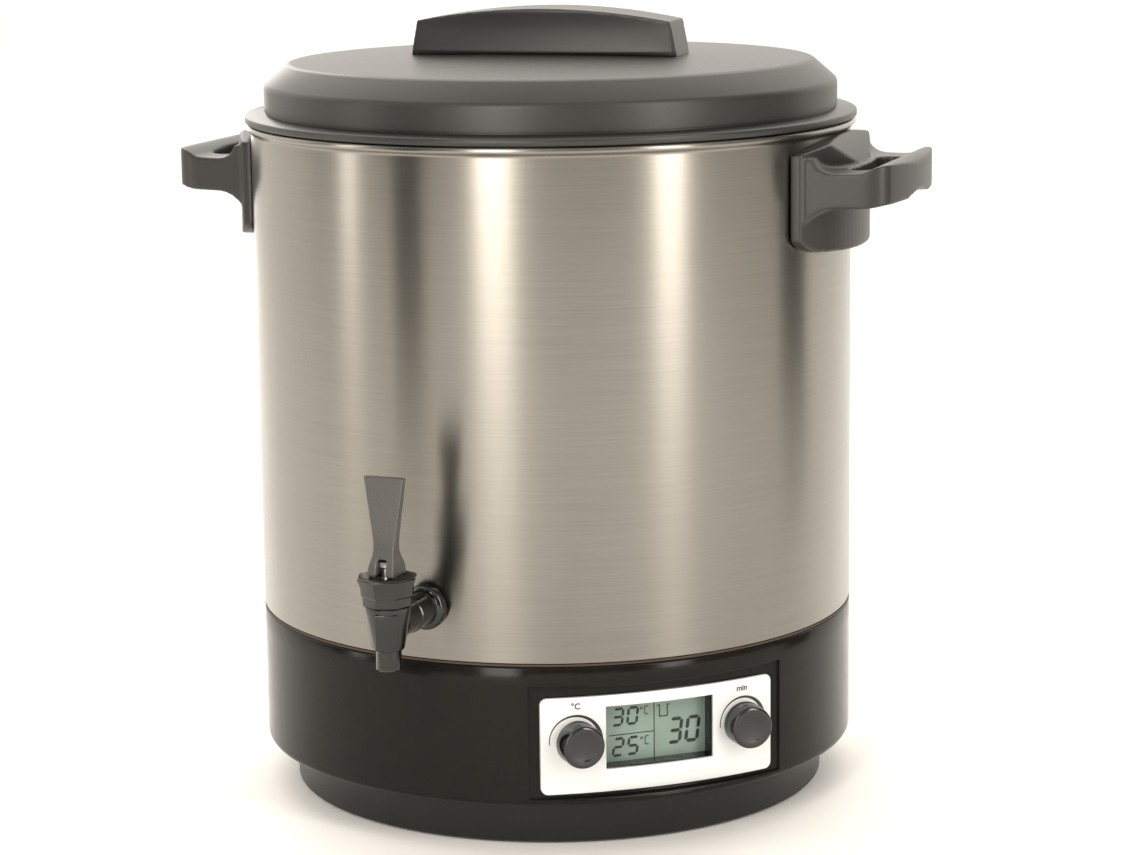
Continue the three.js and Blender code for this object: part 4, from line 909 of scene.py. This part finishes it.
def at_tap(bm, w=TAP_W):
    """Moves a piece drawn about the tap's own upright axis to its place."""
    place = Matrix.Rotation(math.radians(TAP_AZ), 4, "Z") @ Matrix.Translation((0, -w * MM, 0))
    bmesh.ops.transform(bm, matrix=place, verts=bm.verts)
    return bm


chamber = spun([
    (0, 126), (4.2, 125.6), (4.4, 119), (5.0, SPOUT_Z), (6.6, SPOUT_Z), (7.2, 119.1), (7.2, 129),
    (7.7, 129.9), (8.6, 130.5), (9.1, 131.2), (12.9, 151.4), (13.2, 152.4), (13.2, 154.7), (12.8, 155.2),
    (0, 155.2),
], 96, closed=False)
shank = spun([
    (0, 166), (7.4, 166), (8, 166.6), (8, 182.1), (12.6, 182.1), (13, 182.5), (13, 184.4),
    *arc((9.2, 184.6), 3.8, 0, 80, 8), (9.5, 189.2), (9.4, 190), (9.4, 203), (9.9, 203.6),
    (9.9, 205.4), (9.4, 206), (9.4, 222), (0, 222),
], 96, closed=False)
bmesh.ops.transform(shank, matrix=outward_seat(0, 0, -TAP_W, TAP_Z), verts=shank.verts)
front_outline = [(4, 130.9), (8.9, 130.9), (9.5, 131.6), (13.1, 151.6), (12.8, 152.2), (4, 152.2)]
spout_outline = [(2, 120), (7.0, 120), (7.3, 120.6), (7.3, 130.3), (6.9, 130.8), (2, 130.8)]
front_rib = slab(front_outline, -6.4, 6.4, "side")
spout_rib = slab(spout_outline, -4.9, 4.9, "side")
for rib in (front_rib, spout_rib):
    soften(rib, 0.45, angle=60)
    bmesh.ops.rotate(rib, matrix=Matrix.Rotation(math.pi / 8, 3, "Z"), verts=rib.verts)
tap_moulding = carved(chamber, [("UNION", shank), ("UNION", front_rib), ("UNION", spout_rib)])
finished(at_tap(tap_moulding), "tap_moulding", tap_gloss, "tap_plastic", "tap_body", crease=32)


# ---- Tap bonnet -------------------------------------------------------------------------------------------
# An eight-sided cap screwed over the chamber: a plain lower band, a wider upper one and a flared rim round
# its top face. It is spun in eight steps, which makes the flats, and every edge is rounded.

bonnet = spun([
    (2.9, 167), (12.7, 166.1), (12.7, 155.5), (14.0, 155.5), (14.3, 155.9), (14.6, 160.7), (15.3, 161.4),
    (15.7, 166.2), (17.2, 169.9), (17.4, 170.9), (16.7, 171.7), (15.4, 172), (9.4, 172), (8.8, 171.5),
    (2.9, 171.5),
], 8)
soften(bonnet, 0.3, angle=18, segments=3)
finished(at_tap(bonnet), "tap_cap", tap_gloss, "tap_plastic", "tap_bonnet", crease=25)


# ---- Tap lever --------------------------------------------------------------------------------------------
# A dark grey satin paddle: thin and wide at the top, drawn in to a waist, with a forked foot that rocks on
# the bonnet and holds the stem's pin. A small rectangle is drawn up through its levels and its fork is cut.

# The paddle's levels from its foot up: height, half width and half depth.
LEVER_LEVELS = (
    (172.3, 7.5, 7.9), (173.2, 7.8, 8.2), (177.5, 7.7, 7.6), (180.5, 7.2, 6.1), (183.5, 6.5, 4.8),
    (186.5, 6.2, 3.9), (190.5, 6.5, 3.2), (195, 7.2, 2.8), (204, 8.6, 2.5), (215, 10.3, 2.2),
    (227, 12.1, 1.9),
)

# Grey acetal with a satin mould finish: a broad cool sheen down the paddle and brighter edges.
lever_satin, tree, coords = new_material("satin_grey_acetal")
dust = add(tree, "ShaderNodeTexNoise", {"Vector": coords, "Scale": 1 / (0.7 * MM), "Detail": 3.0})
bump = add(tree, "ShaderNodeBump", {"Height": dust.outputs["Fac"], "Strength": 0.2, "Distance": 0.03 * MM})
tint = add(tree, "ShaderNodeMix", {
    "Factor": dust.outputs["Fac"], "A": linear("#474644"), "B": linear("#51504e")}, data_type="RGBA")
rough = add(tree, "ShaderNodeMapRange", {
    "Value": dust.outputs["Fac"], "From Min": 0.3, "From Max": 0.7, "To Min": 0.26, "To Max": 0.34})
shader = add(tree, "ShaderNodeBsdfPrincipled", {
    "Base Color": tint.outputs["Result"], "Roughness": rough.outputs["Result"], "IOR": 1.48,
    "Normal": bump.outputs[0]})
add(tree, "ShaderNodeOutputMaterial", {"Surface": shader.outputs["BSDF"]})

paddle = bmesh.new()
first_z, first_a, first_b = LEVER_LEVELS[0]
corners = [(-first_a, -first_b), (first_a, -first_b), (first_a, first_b), (-first_a, first_b)]
top_face = paddle.faces.new([paddle.verts.new(Vector((x, y, first_z)) * MM) for x, y in corners])
for z, half_width, half_depth in LEVER_LEVELS[1:]:
    grown = bmesh.ops.extrude_face_region(paddle, geom=[top_face])
    top_face = next(g for g in grown["geom"] if isinstance(g, bmesh.types.BMFace))
    for vertex in top_face.verts:
        x, y = math.copysign(half_width, vertex.co.x), math.copysign(half_depth, vertex.co.y)
        vertex.co = Vector((x, y, z)) * MM
bmesh.ops.recalc_face_normals(paddle, faces=paddle.faces)
fork_gap = [(-2.9, 165), (2.9, 165), (2.9, 181.2), (2.3, 181.8), (-2.3, 181.8), (-2.9, 181.2)]
paddle = carved(paddle, [("DIFFERENCE", slab(fork_gap, -12, 12, "front"))], 0.35, 4)
finished(at_tap(paddle), "tap_paddle", lever_satin, "lever_plastic", "tap_lever", crease=35)


# ---- Tap's inner pieces -----------------------------------------------------------------------------------
# Washers seal the shank on both sides of the wall, and a six-sided nut draws it tight from inside. The
# stem, its plug, spring and pin keep their own solids.

# Black silicone rubber: soft, matt and even.
black_silicone, tree, coords = new_material("black_silicone_rubber")
matt = add(tree, "ShaderNodeTexNoise", {"Vector": coords, "Scale": 1 / (1.0 * MM), "Detail": 3.0})
tint = add(tree, "ShaderNodeMix", {
    "Factor": matt.outputs["Fac"], "A": linear("#151515"), "B": linear("#201f1f")}, data_type="RGBA")
rough = add(tree, "ShaderNodeMapRange", {
    "Value": matt.outputs["Fac"], "From Min": 0.3, "From Max": 0.7, "To Min": 0.5, "To Max": 0.62})
shader = add(tree, "ShaderNodeBsdfPrincipled", {
    "Base Color": tint.outputs["Result"], "Roughness": rough.outputs["Result"], "IOR": 1.41})
add(tree, "ShaderNodeOutputMaterial", {"Surface": shader.outputs["BSDF"]})

for node, sides, finish, slot_name, outline in (
    ("tap_outer_washer", 64, black_silicone, "black_silicone",
     [(8.3, 180.3), (11.6, 180.3), (12, 180.7), (12, 181.4), (11.6, 181.8), (8.3, 181.8)]),
    ("tap_inner_washer", 64, black_silicone, "black_silicone",
     [(8.3, 176.3), (12.1, 176.3), (12.5, 176.7), (12.5, 177.6), (12.1, 178), (8.3, 178)]),
    ("tap_lock_nut", 6, tap_gloss, "tap_plastic",
     [(8.3, 170.5), (12.6, 170.5), (14.5, 171.4), (14.5, 175.1), (12.6, 176), (8.3, 176)]),
):
    ring = spun(outline, sides)
    soften(ring, 0.2, angle=40, segments=2)
    bmesh.ops.transform(ring, matrix=outward_seat(TAP_AZ, 0, 0, TAP_Z), verts=ring.verts)
    finished(ring, f"{node}_ring", finish, slot_name, node)
coated(black_silicone, "tap_seat_cup")
coated(zinc, "tap_stem", "tap_spring", "tap_lever_pin")


# ---- Power inlet ------------------------------------------------------------------------------------------
# A moulded socket in the rear of the base with three flat pins. Its own solid is kept, with rounded edges.

# Glass-filled nylon: black and matt, with a slightly mottled skin.
nylon, tree, coords = new_material("glass_filled_nylon")
fibres = add(tree, "ShaderNodeTexNoise", {"Vector": coords, "Scale": 1 / (1.0 * MM), "Detail": 4.0})
tint = add(tree, "ShaderNodeMix", {
    "Factor": fibres.outputs["Fac"], "A": linear("#1c1c1e"), "B": linear("#28282a")}, data_type="RGBA")
rough = add(tree, "ShaderNodeMapRange", {
    "Value": fibres.outputs["Fac"], "From Min": 0.3, "From Max": 0.7, "To Min": 0.42, "To Max": 0.6})
shader = add(tree, "ShaderNodeBsdfPrincipled", {
    "Base Color": tint.outputs["Result"], "Roughness": rough.outputs["Result"], "IOR": 1.53})
add(tree, "ShaderNodeOutputMaterial", {"Surface": shader.outputs["BSDF"]})
coated(nylon, "power_inlet", "relay", "transformer", "temperature_potentiometer", "timer_potentiometer",
       "thermal_cutout")
coated(zinc, "inlet_pin_1", "inlet_pin_2", "inlet_pin_3", "temperature_spindle", "timer_spindle",
       "board_screw_1", "board_screw_2")
weld = nodes["power_inlet"].modifiers.new("weld", "WELD")
weld.merge_threshold = 0.01 * MM
edge = nodes["power_inlet"].modifiers.new("edge", "BEVEL")
edge.width = 0.5 * MM
edge.segments = 2
edge.limit_method = "ANGLE"
edge.angle_limit = math.radians(40)


# ---- Heater and boards ------------------------------------------------------------------------------------
# Inside the base: an aluminium spreader with a sheathed element under it, a sheet shield, the sensor and
# cutout, and the two boards. None of it shows from outside, so each keeps its own solid.

FR4_WEAVE = 0.6


def metal(name, low, high, roughness, patch):
    """A plain metal whose colour and roughness drift over patches of a size in mm."""
    material, tree, coords = new_material(name)
    drift = add(tree, "ShaderNodeTexNoise", {"Vector": coords, "Scale": 1 / (patch * MM), "Detail": 3.0})
    tint = add(tree, "ShaderNodeMix", {
        "Factor": drift.outputs["Fac"], "A": linear(low), "B": linear(high)}, data_type="RGBA")
    rough = add(tree, "ShaderNodeMapRange", {
        "Value": drift.outputs["Fac"], "From Min": 0.3, "From Max": 0.7,
        "To Min": roughness - 0.05, "To Max": roughness + 0.06})
    shader = add(tree, "ShaderNodeBsdfPrincipled", {
        "Base Color": tint.outputs["Result"], "Metallic": 1.0, "Roughness": rough.outputs["Result"]})
    add(tree, "ShaderNodeOutputMaterial", {"Surface": shader.outputs["BSDF"]})
    return material


coated(metal("cast_aluminium", "#b4b6b8", "#cbcccd", 0.42, 3), "heat_spreader")
coated(metal("heat_tinted_steel_sheath", "#8d8577", "#a89f8e", 0.38, 6), "heating_element")
coated(metal("pressed_galvanised_sheet", "#a9abab", "#c3c5c4", 0.35, 9), "heat_shield")
coated(metal("turned_brass", "#b08f4a", "#c4a35c", 0.3, 4), "temperature_sensor")

# Green solder mask over glass cloth: a semi-gloss green with a faint weave under it.
solder_mask, tree, coords = new_material("green_solder_mask")
cloth = add(tree, "ShaderNodeTexNoise", {"Vector": coords, "Scale": 1 / (FR4_WEAVE * MM), "Detail": 3.0})
tint = add(tree, "ShaderNodeMix", {
    "Factor": cloth.outputs["Fac"], "A": linear("#1f5a33"), "B": linear("#2c6e40")}, data_type="RGBA")
rough = add(tree, "ShaderNodeMapRange", {
    "Value": cloth.outputs["Fac"], "From Min": 0.3, "From Max": 0.7, "To Min": 0.3, "To Max": 0.4})
shader = add(tree, "ShaderNodeBsdfPrincipled", {
    "Base Color": tint.outputs["Result"], "Roughness": rough.outputs["Result"], "IOR": 1.55})
add(tree, "ShaderNodeOutputMaterial", {"Surface": shader.outputs["BSDF"]})
coated(solder_mask, "control_board", "power_board")


# ---- Floor, light and camera ------------------------------------------------------------------------------
# A plain pale floor under soft studio lights: tall softboxes stand round the object, where each draws one
# bright upright band on the brushed wall, with a broad light overhead.

FLOOR_R = 14.0
TARGET_Z = 0.24

# Pale studio paper: matt and nearly white.
paper, tree, coords = new_material("pale_studio_floor")
pulp = add(tree, "ShaderNodeTexNoise", {"Vector": coords, "Scale": 1 / (300 * MM), "Detail": 3.0})
tint = add(tree, "ShaderNodeMix", {
    "Factor": pulp.outputs["Fac"], "A": linear("#f1f0ee"), "B": linear("#f4f3f1")}, data_type="RGBA")
shader = add(tree, "ShaderNodeBsdfPrincipled", {"Base Color": tint.outputs["Result"], "Roughness": 0.7})
add(tree, "ShaderNodeOutputMaterial", {"Surface": shader.outputs["BSDF"]})
disc = bmesh.new()
bmesh.ops.create_circle(disc, cap_ends=True, segments=96, radius=FLOOR_R)
floor_mesh = bpy.data.meshes.new("floor")
disc.to_mesh(floor_mesh)
disc.free()
floor_mesh.materials.append(paper)
floor = bpy.data.objects.new("floor", floor_mesh)
bpy.context.scene.collection.objects.link(floor)


def softbox(name, azimuth, distance, height, width, tall, brightness, colour="#fff8f0"):
    """An area light that faces the object from an azimuth, measured from -Y towards +X."""
    light = bpy.data.lights.new(name, "AREA")
    light.shape = "RECTANGLE"
    light.size = width
    light.size_y = tall
    light.color = linear(colour)[:3]
    light.energy = brightness * math.pi * width * tall
    lamp = bpy.data.objects.new(name, light)
    angle = math.radians(azimuth)
    lamp.location = (distance * math.sin(angle), -distance * math.cos(angle), height)
    lamp.rotation_euler = (Vector((0, 0, TARGET_Z)) - lamp.location).to_track_quat("-Z", "Y").to_euler()
    lamp.visible_camera = False
    bpy.context.scene.collection.objects.link(lamp)


softbox("overhead", 200, 0.9, 2.4, 2.6, 2.2, 0.9)
softbox("left_band", -5, 2.3, 1.0, 0.55, 1.9, 11)
softbox("right_band", 59, 2.3, 1.0, 0.48, 1.9, 11)
softbox("far_left_band", -63, 2.3, 0.9, 0.3, 1.7, 6)
softbox("rear_band", 215, 2.3, 0.9, 0.4, 1.7, 4)

# Two black flags stand out of the picture, where the brushed wall mirrors each as a dark upright band.
flag_felt, tree, coords = new_material("black_flag_felt")
nap = add(tree, "ShaderNodeTexNoise", {"Vector": coords, "Scale": 1 / (3 * MM), "Detail": 3.0})
tint = add(tree, "ShaderNodeMix", {
    "Factor": nap.outputs["Fac"], "A": linear("#060606"), "B": linear("#0c0c0c")}, data_type="RGBA")
shader = add(tree, "ShaderNodeBsdfPrincipled", {"Base Color": tint.outputs["Result"], "Roughness": 0.95})
add(tree, "ShaderNodeOutputMaterial", {"Surface": shader.outputs["BSDF"]})
for i, azimuth, width in ((1, -35, 200), (2, 112, 260)):
    flag = slab([(-width / 2, 0), (width / 2, 0), (width / 2, 1200), (-width / 2, 1200)], 1000, 1004, "front")
    bmesh.ops.rotate(flag, matrix=Matrix.Rotation(math.radians(azimuth), 3, "Z"), verts=flag.verts)
    panel = scratch_object(flag)
    panel.name = f"flag_{i}"
    panel.data.materials.append(flag_felt)
    panel.visible_camera = False
    panel.visible_shadow = False

# The room is dim in front of the object and at its sides, pale behind it and bright overhead.
world = bpy.data.worlds.new("studio")
world.use_nodes = True
tree = world.node_tree
tree.nodes.clear()
direction = add(tree, "ShaderNodeTexCoord").outputs["Generated"]
rear = add(tree, "ShaderNodeVectorMath", {0: direction, 1: (-0.276, 0.961, 0)}, operation="DOT_PRODUCT")
height = add(tree, "ShaderNodeVectorMath", {0: direction, 1: (0, 0, 1)}, operation="DOT_PRODUCT")
low = add(tree, "ShaderNodeMapRange", {"Value": rear.outputs["Value"], "From Min": 0.05, "From Max": 0.45,
                                       "To Min": 0.08, "To Max": 1.7}, interpolation_type="SMOOTHSTEP")
up = add(tree, "ShaderNodeMapRange", {"Value": height.outputs["Value"], "From Min": 0.1, "From Max": 0.8,
                                      "To Min": 0.0, "To Max": 0.9}, interpolation_type="SMOOTHSTEP")
level = add(tree, "ShaderNodeMath", {0: low.outputs[0], 1: up.outputs[0]}, operation="ADD")
sky = add(tree, "ShaderNodeBackground", {"Color": linear("#f6f1e8"), "Strength": level.outputs[0]})
add(tree, "ShaderNodeOutputWorld", {"Surface": sky.outputs[0]})
bpy.context.scene.world = world
bpy.context.scene.view_settings.view_transform = "Standard"

CAMERA_AZ = 16.0
CAMERA_DISTANCE = 1.9039
CAMERA_Z = 0.5795
YAW = 0.0048
PITCH = 0.1903
ROLL = -0.0125
LENS = 99.91

camera_data = bpy.data.cameras.new("camera")
camera_data.sensor_width = 36
camera_data.lens = LENS
camera = bpy.data.objects.new("camera", camera_data)
around = Matrix.Rotation(math.radians(CAMERA_AZ), 4, "Z")
turned = Matrix.Rotation(-YAW, 4, "Z") @ Matrix.Rotation(math.pi / 2 - PITCH, 4, "X")
rolled = Matrix.Rotation(ROLL, 4, "Z")
camera.matrix_world = around @ Matrix.Translation((0, -CAMERA_DISTANCE, CAMERA_Z)) @ turned @ rolled
bpy.context.scene.collection.objects.link(camera)
bpy.context.scene.camera = camera
